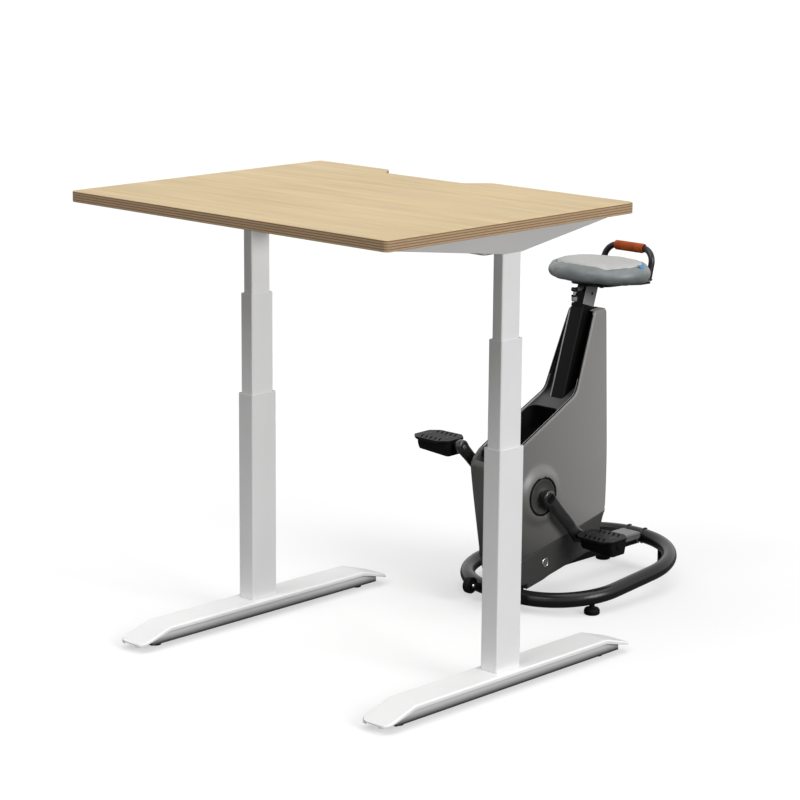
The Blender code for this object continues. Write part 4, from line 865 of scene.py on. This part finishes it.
def painted_post_strips():
    """Black strip down the post's front, painted shade on that face, and a light grey strip at the channel's
    left, a painted highlight.
    """
    lean = Vector((math.sin(POST_LEAN), math.cos(POST_LEAN)))
    # The black strip paints shade on the post's front; the grey strip paints a highlight.
    strips = (("post_strip", "seat_post", -0.0148, 0.0136, 0.0228, 0.02318, -0.150, 0.056, "frame_black"),
              ("channel_trim", "main_frame", -0.0205, -0.0178, 0.0262, 0.0276, -0.285, -0.012, "highlight_grey"))
    for name, node, left, right, back, front, low, high, paint in strips:
        rings = []
        for along in (low, high):
            y, z = Vector(POST_AXIS) + lean * along
            corners = ((left, back), (right, back), (right, front), (left, front))
            rings.append([on_bike(x, y - lean.y * out, z + lean.x * out) for x, out in corners])
        piece(name, loft(rings), "black_steel", node, 30, paint)


def bin_liner():
    """Black sheet lining the bin sunk into the tray's lower run: painted shade in the bin."""
    (low_y, low_z), (bend_y, bend_z) = TRAY_LOW, TRAY_BEND
    lean = math.atan2(bend_z - low_z, bend_y - low_y)
    centre = on_bike(0, BIN_Y, low_z + (BIN_Y - low_y) * math.tan(lean))
    turn = Matrix.Rotation(lean, 3, "X")
    width, length = BIN_SIZE
    rings = []
    for inset, depth in ((0.0040, BIN_DEPTH - 0.0004), (0.0006, BIN_DEPTH - 0.0040), (0.0003, 0.0010),
                         (-0.0020, -0.0006), (-0.0020, -0.0012), (0.0012, -0.0012), (0.0016, 0.0010),
                         (0.0019, BIN_DEPTH - 0.0048), (0.0048, BIN_DEPTH - 0.0014)):
        u, v, r = width / 2 - inset, length / 2 - inset, BIN_CORNER - inset
        ring = filleted(mirrored([(u, -v, r), (u, v, r)]), 7)
        rings.append([centre + turn @ Vector((*point, -depth)) for point in ring])
    # Matt black lining: painted shade in the bin.
    piece("bin_liner", loft(rings), "tray_grey", "tray", 40, "matt_black")


# Base

def loop_height(y):
    share = (y - LOOP_FRONT) / (LOOP_REAR - LOOP_FRONT)
    return LOOP_FRONT_HEIGHT + share * (LOOP_REAR_HEIGHT - LOOP_FRONT_HEIGHT)


def base_loop():
    """Bent floor tube, welded to the frame at its front and rear."""
    half = LOOP_HALF_WIDTH
    corners = mirrored([(half, LOOP_FRONT, LOOP_FRONT_CORNER), (half, LOOP_REAR, LOOP_REAR_CORNER)])
    path = [on_bike(x, y, loop_height(y)) for x, y in filleted(corners, 30)]
    stand_in("loop_tube", tube(path, LOOP_RADIUS, 40, True), "loop_steel", "base_loop", 60)
    reach = LOOP_RADIUS + 0.001
    for tag, y, lean, first in (("front", LOOP_FRONT, 1, 0), ("rear", LOOP_REAR, -1, -60)):
        turns = np.radians(np.linspace(first, first + 180, 21))
        arc = [(y + lean * reach * math.cos(t), loop_height(y) + reach * math.sin(t)) for t in turns]
        beads = None
        for x in (-WELD_X, WELD_X):
            beads = tube([on_bike(x, *point) for point in arc], WELD_RADIUS, 10, False, beads)
        piece(f"{tag}_weld", beads, "loop_steel", "base_loop", 60)


def transport_wheel(side, sign):
    """Small wheel between the two riveted cheeks of a fork under the front of the loop."""
    middle = LOOP_HALF_WIDTH - LOOP_FRONT_CORNER
    tube_y = LOOP_FRONT + LOOP_FRONT_CORNER - math.sqrt(LOOP_FRONT_CORNER ** 2 - (WHEEL_X - middle) ** 2)
    to_tube = (WHEEL_LEAD - 0.006, loop_height(tube_y) - WHEEL_HEIGHT)
    hub = on_bike(sign * WHEEL_X, tube_y - WHEEL_LEAD, WHEEL_HEIGHT)

    def placed(u, v, w):
        return hub + Vector((w, u, v))

    cheeks, rivets = None, None
    head = [(0.0, 0.0052), (0.0014, 0.0050), (0.0026, 0.0032), (0.0030, 0.0)]
    for lean in (-1, 1):
        low, high = sorted((lean * CHEEK_INNER, lean * CHEEK_OUTER))
        cheeks = plate(stadium((0, 0), to_tube, CHEEK_WIDTH), low, high, placed, 0.0007, cheeks)
        rivets = turned(head, placed(0, 0, lean * CHEEK_OUTER), (lean, 0, 0), 24, rivets)
    piece(f"{side}_fork", cheeks, "black_steel", "base_loop")
    piece(f"{side}_wheel_rivets", rivets, "bright_steel", "base_loop")
    tyre = [(-0.0080, 0.0032), (-0.0080, 0.0085), (-0.0055, 0.0100), (-0.0055, 0.0150), (-0.0076, 0.0165),
            (-0.0080, 0.0192), (-0.0066, 0.0210), (-0.0040, 0.0215)]
    tyre += [(-along, radius) for along, radius in reversed(tyre)]
    low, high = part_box(f"{side}_wheel")
    wheel = turned(tyre, (low + high) / 2, ACROSS, 56, ring=True)
    stand_in(f"{side}_wheel_finish", wheel, "black_plastic", f"{side}_wheel", 30)


def bike_pads():
    """Rubber levelling pads with ribbed rims on threaded studs that run up into the loop."""
    rubber = [(0.0, 0.0165), (0.0012, 0.0188), (0.0040, 0.0200), (0.0075, 0.0200), (0.0088, 0.0188),
              (0.0100, 0.0200), (0.0122, 0.0194), (0.0158, 0.0172), (0.0180, 0.0120)]
    for name in ("bike_left_pad", "bike_right_pad", "bike_left_rear_pad", "bike_right_rear_pad"):
        low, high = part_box(name)
        foot = Vector(((low.x + high.x) / 2, (low.y + high.y) / 2, low.z))
        rise = loop_height(foot.y - BIKE.y)
        stand_in(f"{name}_rubber", turned(rubber, foot, UP, 48), "rubber", name)
        stud = [(0.0170, STUD_CREST)]
        for step in range(int((rise - LOOP_RADIUS - 0.018) / STUD_PITCH)):
            stud += [(0.0183 + STUD_PITCH * step, STUD_ROOT), (0.0189 + STUD_PITCH * step, STUD_CREST)]
        stud += [(rise - 0.010, 0.0066)]
        fitting(f"{name}_stud", stud, foot, UP, "black_steel", name, 28)


def spine_bolt():
    """Hexagon bolt with its washer in the side of the spine, near its rear end."""
    at, radius = on_bike(*SPINE_BOLT), SPINE_BOLT_RADIUS
    washer = [(0.0, radius * 1.45), (0.0012, radius * 1.4), (0.0014, 0.0)]
    fitting("spine_washer", washer, at, ACROSS, "bright_steel", "main_frame")
    head = [(0.0013, radius), (0.0048, radius), (0.0056, radius * 0.85)]
    fitting("spine_bolt", head, at, ACROSS, "black_steel", "main_frame", 6)


# Cranks and pedals

def crank_frame(sign):
    """Gives the spot at (across, along the arm, square to it) on the crank of one side."""
    angle = CRANK_ANGLE if sign > 0 else CRANK_ANGLE + math.pi
    along = Vector((0, math.cos(angle), math.sin(angle)))
    square = Vector((0, -math.sin(angle), math.cos(angle)))

    def placed(x, s, t):
        return on_bike(x, 0, CRANK.z) + along * s + square * t
    return placed


def arm_half_width(s):
    """A round boss at the axle, a slim neck and a round eye, run together smoothly."""
    root = math.sqrt(max(0.0, ARM_ROOT ** 2 - s * s))
    eye = math.sqrt(max(0.0, ARM_EYE ** 2 - (s - CRANK_LENGTH) ** 2))
    neck = ARM_NECK - 0.0015 * s / CRANK_LENGTH if 0 <= s <= CRANK_LENGTH else 0.0
    return (root ** 6 + eye ** 6 + neck ** 6) ** (1 / 6)


def crank_arm(side, sign):
    """Forged arm with a full rounded section, a dished bolt cap, and the steel pedal spindle."""
    node, outward, placed = f"{side}_crank", (sign, 0, 0), crank_frame(sign)
    root_end = -ARM_ROOT * np.cos(np.radians((8, 18, 30, 45, 60, 75, 90)))
    eye_end = CRANK_LENGTH + ARM_EYE * np.sin(np.radians((0, 15, 30, 45, 60, 72, 82)))
    neck = np.linspace(0.010, CRANK_LENGTH - 0.010, 29)
    middle = (ARM_INNER + ARM_OUTER) / 2
    rings = []
    for s in (*root_end, *neck, *eye_end):
        across = arm_half_width(s)
        share = smooth((s - 0.018) / 0.030) * smooth((CRANK_LENGTH - 0.014 - s) / 0.030)
        half = (ARM_OUTER - ARM_INNER) / 2 - ARM_WAIST * share
        blunt = min(1.0, across / 0.0135)
        ring = []
        for c, t in circle(1.0, 32):
            u = math.copysign(abs(c) ** 0.55, c) * half * (0.72 + 0.28 * blunt)
            v = math.copysign(abs(t) ** 0.62, t) * across
            ring.append(placed(sign * (middle + u), s, v))
        rings.append(ring)
    stand_in(f"{side}_crank_arm", loft(rings), "black_steel", node, 60, "arm_black")
    face = placed(sign * ARM_OUTER, 0, 0)
    cap = [(-0.0030, 0.0122), (0.0012, 0.0122), (0.0020, 0.0112), (0.0020, 0.0098), (0.0006, 0.0088),
           (0.0004, 0.0)]
    fitting(f"{side}_bolt_ring", cap, face, outward, "black_plastic", node, 48)
    socket = [(0.0, 0.0056), (0.0016, 0.0052), (0.0016, 0.0030), (0.0009, 0.0028)]
    fitting(f"{side}_arm_bolt", socket, face, outward, "black_steel", node, 6, 20, "matt_black")
    pin = [(ARM_INNER - 0.0012, 0.0052), (ARM_INNER + 0.0020, 0.0060), (ARM_OUTER - 0.0010, 0.0060),
           (ARM_OUTER - 0.0010, 0.0092), (ARM_OUTER + 0.0030, 0.0092), (ARM_OUTER + 0.0036, 0.0084),
           (ARM_OUTER + 0.0036, 0.0062), (PEDAL_PLANE + 0.036, 0.0058)]
    fitting(f"{side}_spindle", pin, placed(0, CRANK_LENGTH, 0), outward, "bright_steel", node)


def crank_centre():
    """Axle and the two dished discs that close the housing round it, the discs in a darker copy of the
    shell's grey that paints shade on them, and black rings in the boss recesses, painted shade.
    """
    half = ARM_OUTER - 0.004
    axle = turned([(-half, 0.0083), (half, 0.0083)], on_bike(0, 0, CRANK.z), ACROSS)
    stand_in("axle_finish", axle, "bright_steel", "crank_axle")
    dish = [(0.0, 0.0088), (0.0, 0.0448), (0.0020, 0.0455), (0.0052, 0.0452), (0.0064, 0.0440),
            (0.0064, 0.0405), (0.0052, 0.0385), (0.0040, 0.0330), (0.0036, 0.0250), (0.0042, 0.0180),
            (0.0062, 0.0150), (0.0064, 0.0088)]
    recess_shade_profile = [(0.0615, 0.0460), (0.0615, 0.0482), (0.0755, 0.0482), (0.0755, 0.0466)]
    for side, sign in SIDES:
        node = f"{side}_crank_disc"
        near = min(abs(corner.x - BIKE.x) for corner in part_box(node))
        disc = turned(dish, on_bike(sign * near, 0, CRANK.z), (sign, 0, 0), 72, ring=True)
        # The discs take a darker copy of the shell's grey: painted shade.
        stand_in(f"{side}_disc_finish", disc, "shell_grey", node, 40, "shaded_shell_grey")
        # Black rings inside the boss recesses: painted shade.
        ring = turned(recess_shade_profile, on_bike(0, 0, CRANK.z), (sign, 0, 0), 72, ring=True)
        piece(f"{side}_boss_liner", ring, "shell_grey", f"{side}_shell", 40, "matt_black")


def pedal(side, sign):
    """Wide slotted tread on a barrel, with a deep counterweight skirt that keeps it upright."""
    node, middle = f"{side}_pedal", crank_frame(sign)(sign * PEDAL_PLANE, CRANK_LENGTH, 0)
    pitch = Matrix.Rotation(PEDAL_PITCH, 3, "X")

    def placed(x, y, z):
        return middle + pitch @ Vector((x, y, z))

    half_x, half_y = TREAD_HALF_WIDTH, TREAD_HALF_DEPTH
    outline = filleted(mirrored([
        (half_x - 0.022, -half_y, 0.016), (half_x, -half_y + 0.020, 0.010),
        (half_x, half_y - 0.020, 0.010), (half_x - 0.022, half_y, 0.016),
    ]), 5)
    low, high = TREAD_TOP - TREAD_THICKNESS, TREAD_TOP
    rings = []
    for size, level in ((0.955, low), (1.0, low + 0.0025), (1.0, high - 0.0012), (0.985, high)):
        rings.append([placed(size * u, size * v, level) for u, v in outline])
    tread = stand_in(f"{side}_tread", loft(rings), "black_plastic", node, 30)
    slots = None
    lean = SLOT_HALF_LENGTH * Vector((-math.sin(SLOT_LEAN), math.cos(SLOT_LEAN)))
    for row in (-SLOT_ROW, SLOT_ROW):
        for index in range(-2, 3):
            spot = Vector((index * SLOT_PITCH, row))
            slot = stadium(spot - lean, spot + lean, SLOT_WIDTH, 6)
            slots = plate(slot, low - 0.004, high + 0.004, placed, 0.0, slots)
    carved(tread, slots)

    block = []
    for depth, inward, half, drop in ((-0.019, 0.0025, 0.0265, 0.0065), (-0.012, 0.001, 0.0290, 0.0),
                                      (-0.004, 0.0, 0.0305, 0.0), (low + 0.001, 0.0, 0.0310, 0.0)):
        left, right = -0.0460 + inward, 0.0560 - 0.6 * inward
        corners = [(left, -half, 0.004), (right, -half, 0.007), (right, half, 0.007), (left, half, 0.004)]
        ring = filleted(corners, 5)
        block.append([placed(x, y, depth - drop * (x - left) / (right - left)) for x, y in ring])
    piece(f"{side}_counterweight", eased(loft(block), 0.0012, 50), "black_plastic", node)
    outer_cap = [(0.0395, 0.0108), (0.0575, 0.0108), (0.0595, 0.0092)]
    collar = [(-0.0595, 0.0080), (-0.0575, 0.0104), (-0.040, 0.0108)]
    for tag, profile in (("outer_cap", outer_cap), ("inner_collar", collar)):
        fitting(f"{side}_pedal_{tag}", profile, middle, (sign, 0, 0), "black_plastic", node, 36)
    screws = None
    head = [(0.0, 0.0030), (0.0010, 0.0027), (0.0014, 0.0)]
    for x in (-0.034, 0.034):
        for y in (-0.006, 0.006):
            screws = turned(head, placed(x, y, high - 0.0002), pitch @ Vector(UP), 16, screws)
    piece(f"{side}_tread_screws", screws, "black_steel", node, 30)


# Seat

def seat_point(x, y, z):
    """Point on the tilted seat; z is measured from the cushion's underside."""
    return on_bike(0, SEAT_Y, SEAT_BOTTOM) + SEAT_TURN @ Vector((x, y, z))


def panel_edge(x, y):
    """How far (1 at the rim) the sewn top panel reaches in a direction; it dips at the front."""
    forward = -y / max(1e-6, math.hypot(x, y))
    return PANEL_REACH - PANEL_DIP * smooth((forward - 0.72) / 0.28)


def cushion():
    """Padded seat: a crowned pad swollen by a short cloth run, then smoothed and sewn."""
    levels = ((0.78, 0.100), (0.925, 0.105), (0.985, 0.165), (1.015, 0.280), (1.022, 0.420), (1.018, 0.560),
              (1.005, 0.690), (0.965, 0.810), (0.88, 0.885), (0.68, 0.930), (0.34, 0.952))
    rings = []
    for reach, share in levels:
        ring, height = circle(reach, 72), share * SEAT_HEIGHT
        rings.append([seat_point(u * SEAT_HALF_WIDTH, v * SEAT_HALF_DEPTH, height) for u, v in ring])
    made = stand_in("seat_pad", loft(rings), "seat_vinyl", "seat_cushion", 80)
    modified(made, "REMESH", mode="VOXEL", voxel_size=CUSHION_VOXEL, use_smooth_shade=True)
    applied(made)
    inflate(made)
    modified(made, "SMOOTH", factor=0.5, iterations=10)
    modified(made, "SUBSURF", levels=1, render_levels=1)
    applied(made)
    sewn(made)


def inflate(made):
    """Swell a closed shape with cloth under pressure, by no more than the limit anywhere."""
    before = np.array([vert.co[:] for vert in made.data.vertices])
    cloth = modified(made, "CLOTH").settings
    cloth.use_pressure = True
    cloth.uniform_pressure_force = SWELL_PRESSURE
    cloth.effector_weights.gravity = 0.0
    scene = bpy.context.scene
    scene.frame_start, scene.frame_end = 1, SWELL_FRAMES
    for number in range(1, SWELL_FRAMES + 1):
        scene.frame_set(number)
    applied(made)
    scene.frame_set(1)
    moved = np.array([vert.co[:] for vert in made.data.vertices]) - before
    length = np.linalg.norm(moved, axis=1, keepdims=True)
    moved *= np.minimum(1.0, SWELL_LIMIT / np.maximum(length, 1e-9))
    for vert, point in zip(made.data.vertices, before + moved):
        vert.co = Vector(point)


def sewn(made):
    """Press the panel's seam and a shallow hollow into the cushion's top, and trim its underside."""
    foot = on_bike(0, SEAT_Y, SEAT_BOTTOM)
    for vert in made.data.vertices:
        local = SEAT_TURN.transposed() @ (vert.co - foot)
        u, v = local.x / SEAT_HALF_WIDTH, local.y / SEAT_HALF_DEPTH
        if local.z > 0.55 * SEAT_HEIGHT:
            off = (math.hypot(u, v) - panel_edge(u, v)) * SEAT_HALF_DEPTH
            local.z -= 0.0016 * math.exp(-(off / 0.0026) ** 2)
            local.z -= 0.0022 * smooth(1 - math.hypot(u, v + 0.1) / 0.55)
        local.z = max(local.z, 0.0050 + 0.0060 * smooth((-v - 0.25) / 0.70))
        vert.co = foot + SEAT_TURN @ local
    made.data.shade_smooth()
    made.data.set_sharp_from_angle(angle=math.radians(80))


def under_seat():
    """Pressed pan, the stapled edge of the cover under the cushion, and the screws in it."""
    outline = filleted(mirrored([(0.060, -0.060, 0.040), (0.066, 0.020, 0.030), (0.0865, 0.060, 0.02),
                                 (0.0865, 0.1105, 0.016)]))
    pan = plate(outline, -0.0048, -0.0006, seat_point, 0.0012)
    stand_in("pan_finish", pan, "black_steel", "seat_pan")
    rows = []
    for reach, z, wave in ((0.480, 0.0070, 0.0), (0.562, 0.0070, 0.0), (0.576, 0.0058, 0.0),
                           (0.582, 0.0040, 0.0010), (0.572, 0.0032, 0.0012), (0.480, 0.0030, 0.0)):
        row = []
        for index, (u, v) in enumerate(circle(reach, 220)):
            ripple = wave * math.sin(2 * math.pi * 55 * index / 220)
            depth = SEAT_HALF_DEPTH * (0.88 if v < 0 else 1.0)
            row.append(seat_point(u * SEAT_HALF_WIDTH, v * depth, z + ripple))
        rows.append(row)
    piece("cover_edge", loft(rows), "seat_vinyl", "seat_pan", 50, "matt_black")
    heads = None
    head = [(0.0, 0.0062), (-0.0022, 0.0056), (-0.0034, 0.0)]
    for x, y in ((-0.044, -0.044), (0.044, -0.044), (-0.060, 0.060), (0.060, 0.060)):
        heads = turned(head, seat_point(x, y, -0.0048), SEAT_TURN @ Vector(UP), 24, heads)
    piece("pan_screws", heads, "black_steel", "seat_pan", 30)


def seat_tab():
    """Small folded pull tab sewn into the seam at the right of the cushion."""
    turn = math.radians(9)
    shape = bmesh.new()
    rows = []
    for share, lift in ((0.0, 0.0), (0.35, 0.0012), (0.7, 0.0010), (1.0, -0.0010)):
        reach = PANEL_REACH + 0.095 * share
        height = SEAT_HEIGHT * (0.930 - 0.16 * share ** 1.5) + 0.0022 + lift
        row = []
        for across in (-1.0, -0.6, 0.0, 0.6, 1.0):
            angle = turn + across * (0.080 if share < 0.9 else 0.072)
            x, y = SEAT_HALF_WIDTH * math.cos(angle), SEAT_HALF_DEPTH * math.sin(angle)
            row.append(shape.verts.new(seat_point(reach * x, reach * y, height)))
        rows.append(row)
    for lower, upper in zip(rows, rows[1:]):
        for index in range(len(lower) - 1):
            shape.faces.new((lower[index], lower[index + 1], upper[index + 1], upper[index]))
    tab = piece("seam_tab", shape, "seat_vinyl", "seat_cushion", 60, "blue_tab")
    modified(tab, "SOLIDIFY", thickness=0.0016, offset=0)
    modified(tab, "SUBSURF", levels=2, render_levels=2)


def handle():
    """Bent tube behind the seat, welded to the pan."""
    half, high = HANDLE_HALF_WIDTH, HANDLE_TOP
    foot_y, foot_z = SEAT_Y + HANDLE_BACK, SEAT_BOTTOM - 0.001
    corners = [(-half, foot_z, 0), (-half, high, HANDLE_BEND), (half, high, HANDLE_BEND), (half, foot_z, 0)]
    lean = HANDLE_LEAN / (high - foot_z)
    path = [on_bike(x, foot_y + lean * (z - foot_z), z) for x, z in filleted(corners, 18)]
    stand_in("handle_tube", tube(path, HANDLE_RADIUS, 28), "black_steel", "rear_handle", 60)
    welds = None
    for x in (-half, half):
        ring = circle(HANDLE_RADIUS + 0.001, 24, (x, foot_y))
        welds = tube([on_bike(*point, foot_z + 0.0025) for point in ring], 0.0018, 8, True, welds)
    piece("handle_welds", welds, "black_steel", "rear_handle", 60)


def grip():
    """Leather sleeve round the handle's middle, with its seam and stitches underneath."""
    middle = on_bike(0, SEAT_Y + HANDLE_BACK + HANDLE_LEAN, HANDLE_TOP)
    end = ((0.0, 0.0084), (0.0006, 0.0100), (-0.0006, 0.0113))
    profile = [(-GRIP_HALF - out, radius) for out, radius in end]
    for step, share in enumerate(np.linspace(-1, 1, 31)):
        waver = 0.00012 * math.sin(9 * step) - 0.00025 * share ** 4
        profile.append(((GRIP_HALF - 0.003) * share, GRIP_RADIUS + waver))
    profile += [(GRIP_HALF + out, radius) for out, radius in reversed(end)]
    stand_in("grip_sleeve", turned(profile, middle, ACROSS, 56, ring=True), "tan_leather", "handle_grip", 60)

    def beside_seam(along, turn, height):
        spoke = Vector((0, math.cos(GRIP_SEAM + turn), math.sin(GRIP_SEAM + turn)))
        return middle + Vector((along, 0, 0)) + spoke * (GRIP_RADIUS + height)

    seam, stitches = None, None
    run = np.linspace(0.002 - GRIP_HALF, GRIP_HALF - 0.002, 25)
    for lean in (-0.05, 0.05):
        seam = tube([beside_seam(along, lean, 0.0003) for along in run], 0.0007, 8, False, seam)
    piece("grip_seam", seam, "tan_leather", "handle_grip", 60)
    for along in np.linspace(0.004 - GRIP_HALF, GRIP_HALF - 0.004, 22):
        path = []
        for share in np.linspace(0, 1, 7):
            turn, height = math.radians(28 * share - 14), 0.0012 * math.sin(math.pi * share)
            path.append(beside_seam(along + 0.0012 * (share - 0.5), turn, height))
        stitches = tube(path, 0.0006, 8, False, stitches)
    piece("grip_stitches", stitches, "tan_leather", "handle_grip", 60, "waxed_thread")


def release_lever():
    """Pivot, cap, hanging rod and turned knob of the height release."""
    node, pivot = "release_lever", on_bike(0, *LEVER_PIVOT)
    pin = [(-0.0075, 0.0046), (-0.0066, 0.0055), (0.0066, 0.0055), (0.0075, 0.0046)]
    stand_in("lever_pivot", turned(pin, pivot, ACROSS), "black_steel", node)
    cap = [(-0.0034, 0.0044), (0.0030, 0.0046), (0.0046, 0.0030), (0.0054, 0.0)]
    fitting("lever_cap", cap, pivot, UP, "black_steel", node)
    fitting("lever_rod", [(-0.016, 0.0034), (-0.004, 0.0034)], pivot, UP, "bright_steel", node, 24)
    ferrule = [(-0.0175, 0.0078), (-0.0145, 0.0080), (-0.0135, 0.0066)]
    fitting("lever_ferrule", ferrule, pivot, UP, "black_steel", node)
    knob = [(-0.030, 0.0050), (-0.0285, 0.0066), (-0.025, 0.0075), (-0.020, 0.0074), (-0.0170, 0.0068)]
    fitting("lever_knob", knob, pivot, UP, "grey_plastic", node)


# Room, light and camera

def floor():
    """White floor that keeps a faint shadow and throws little light back."""
    shape = bmesh.new()
    bmesh.ops.create_grid(shape, x_segments=1, y_segments=1, size=30.0)
    made = scene_object("floor", mesh_of("floor", shape))
    paint = Paint("floor", grey(FLOOR_BOUNCE), 0.9, specular=0.0)
    seen = paint.add("LightPath", {}).outputs["Is Camera Ray"]
    paint.set("Base Color", paint.mix(seen, grey(FLOOR_BOUNCE), grey(FLOOR_SEEN)))
    white = paint.add("Emission", {"Color": (1, 1, 1, 1), "Strength": 1.0})
    share = paint.math("MULTIPLY", seen, FLOOR_WHITE)
    blend = paint.add("MixShader", {0: share, 1: paint.shader.outputs["BSDF"], 2: white.outputs[0]})
    paint.wire(paint.tree.nodes["Material Output"].inputs["Surface"], blend.outputs[0])
    made.data.materials.append(paint.material)


def backdrop():
    """White to the eye and in reflections, and a dim light from all round."""
    world = bpy.data.worlds.new("studio")
    world.use_nodes = True
    bpy.context.scene.world = world
    sky = Tree(world.node_tree)
    rays = sky.add("LightPath", {}).outputs
    direct = sky.math("MAXIMUM", rays["Is Camera Ray"], rays["Is Glossy Ray"])
    direct = sky.math("MAXIMUM", direct, rays["Is Transmission Ray"])
    background = world.node_tree.nodes["Background"].inputs
    sky.wire(background["Strength"], sky.span(direct, 0.0, 1.0, AMBIENT, 1.0))
    sky.wire(background["Color"], (1, 1, 1, 1))


def lights():
    """Soft lights; the top and its brackets cast no shadow in those that it lets pass."""
    unshaded = bpy.data.collections.new("unshaded")
    for made in bpy.data.objects:
        if made.name.startswith(UNSHADED):
            unshaded.objects.link(made)
    for entry in unshaded.collection_objects:
        entry.light_linking.link_state = "EXCLUDE"
    for name, energy, softness, heading, height, passes in LAMPS:
        light = bpy.data.lights.new(name, "SUN")
        light.energy = energy
        light.angle = math.radians(softness)
        lamp = scene_object(name, light)
        lamp.rotation_euler = (math.radians(90 - height), 0.0, math.radians(90 + heading))
        if passes:
            lamp.light_linking.blocker_collection = unshaded


def camera():
    heading = Matrix.Rotation(-CAMERA_YAW, 4, "Z")
    tilt = Matrix.Rotation(math.pi / 2 + CAMERA_PITCH, 4, "X")
    roll = Matrix.Rotation(CAMERA_ROLL, 4, "Z")
    lens = bpy.data.cameras.new("camera")
    lens.sensor_width = SENSOR
    lens.lens = SENSOR * FOCAL_PIXELS / IMAGE_PIXELS
    lens.clip_end = 60.0
    made = scene_object("camera", lens)
    made.matrix_world = Matrix.Translation(CAMERA_AT) @ heading @ tilt @ roll
    bpy.context.scene.camera = made


camera()
shells()
skirt()
rim_trim()
painted_post_strips()
bin_liner()
base_loop()
for side, sign in SIDES:
    transport_wheel(side, sign)
bike_pads()
spine_bolt()
crank_centre()
for side, sign in SIDES:
    crank_arm(side, sign)
    pedal(side, sign)
cushion()
under_seat()
seat_tab()
handle()
grip()
release_lever()
for name in NODES:
    if name not in stood_for:
        refined(name)
floor()
backdrop()
lights()

bpy.context.view_layer.update()
bpy.context.scene.view_settings.view_transform = "Standard"
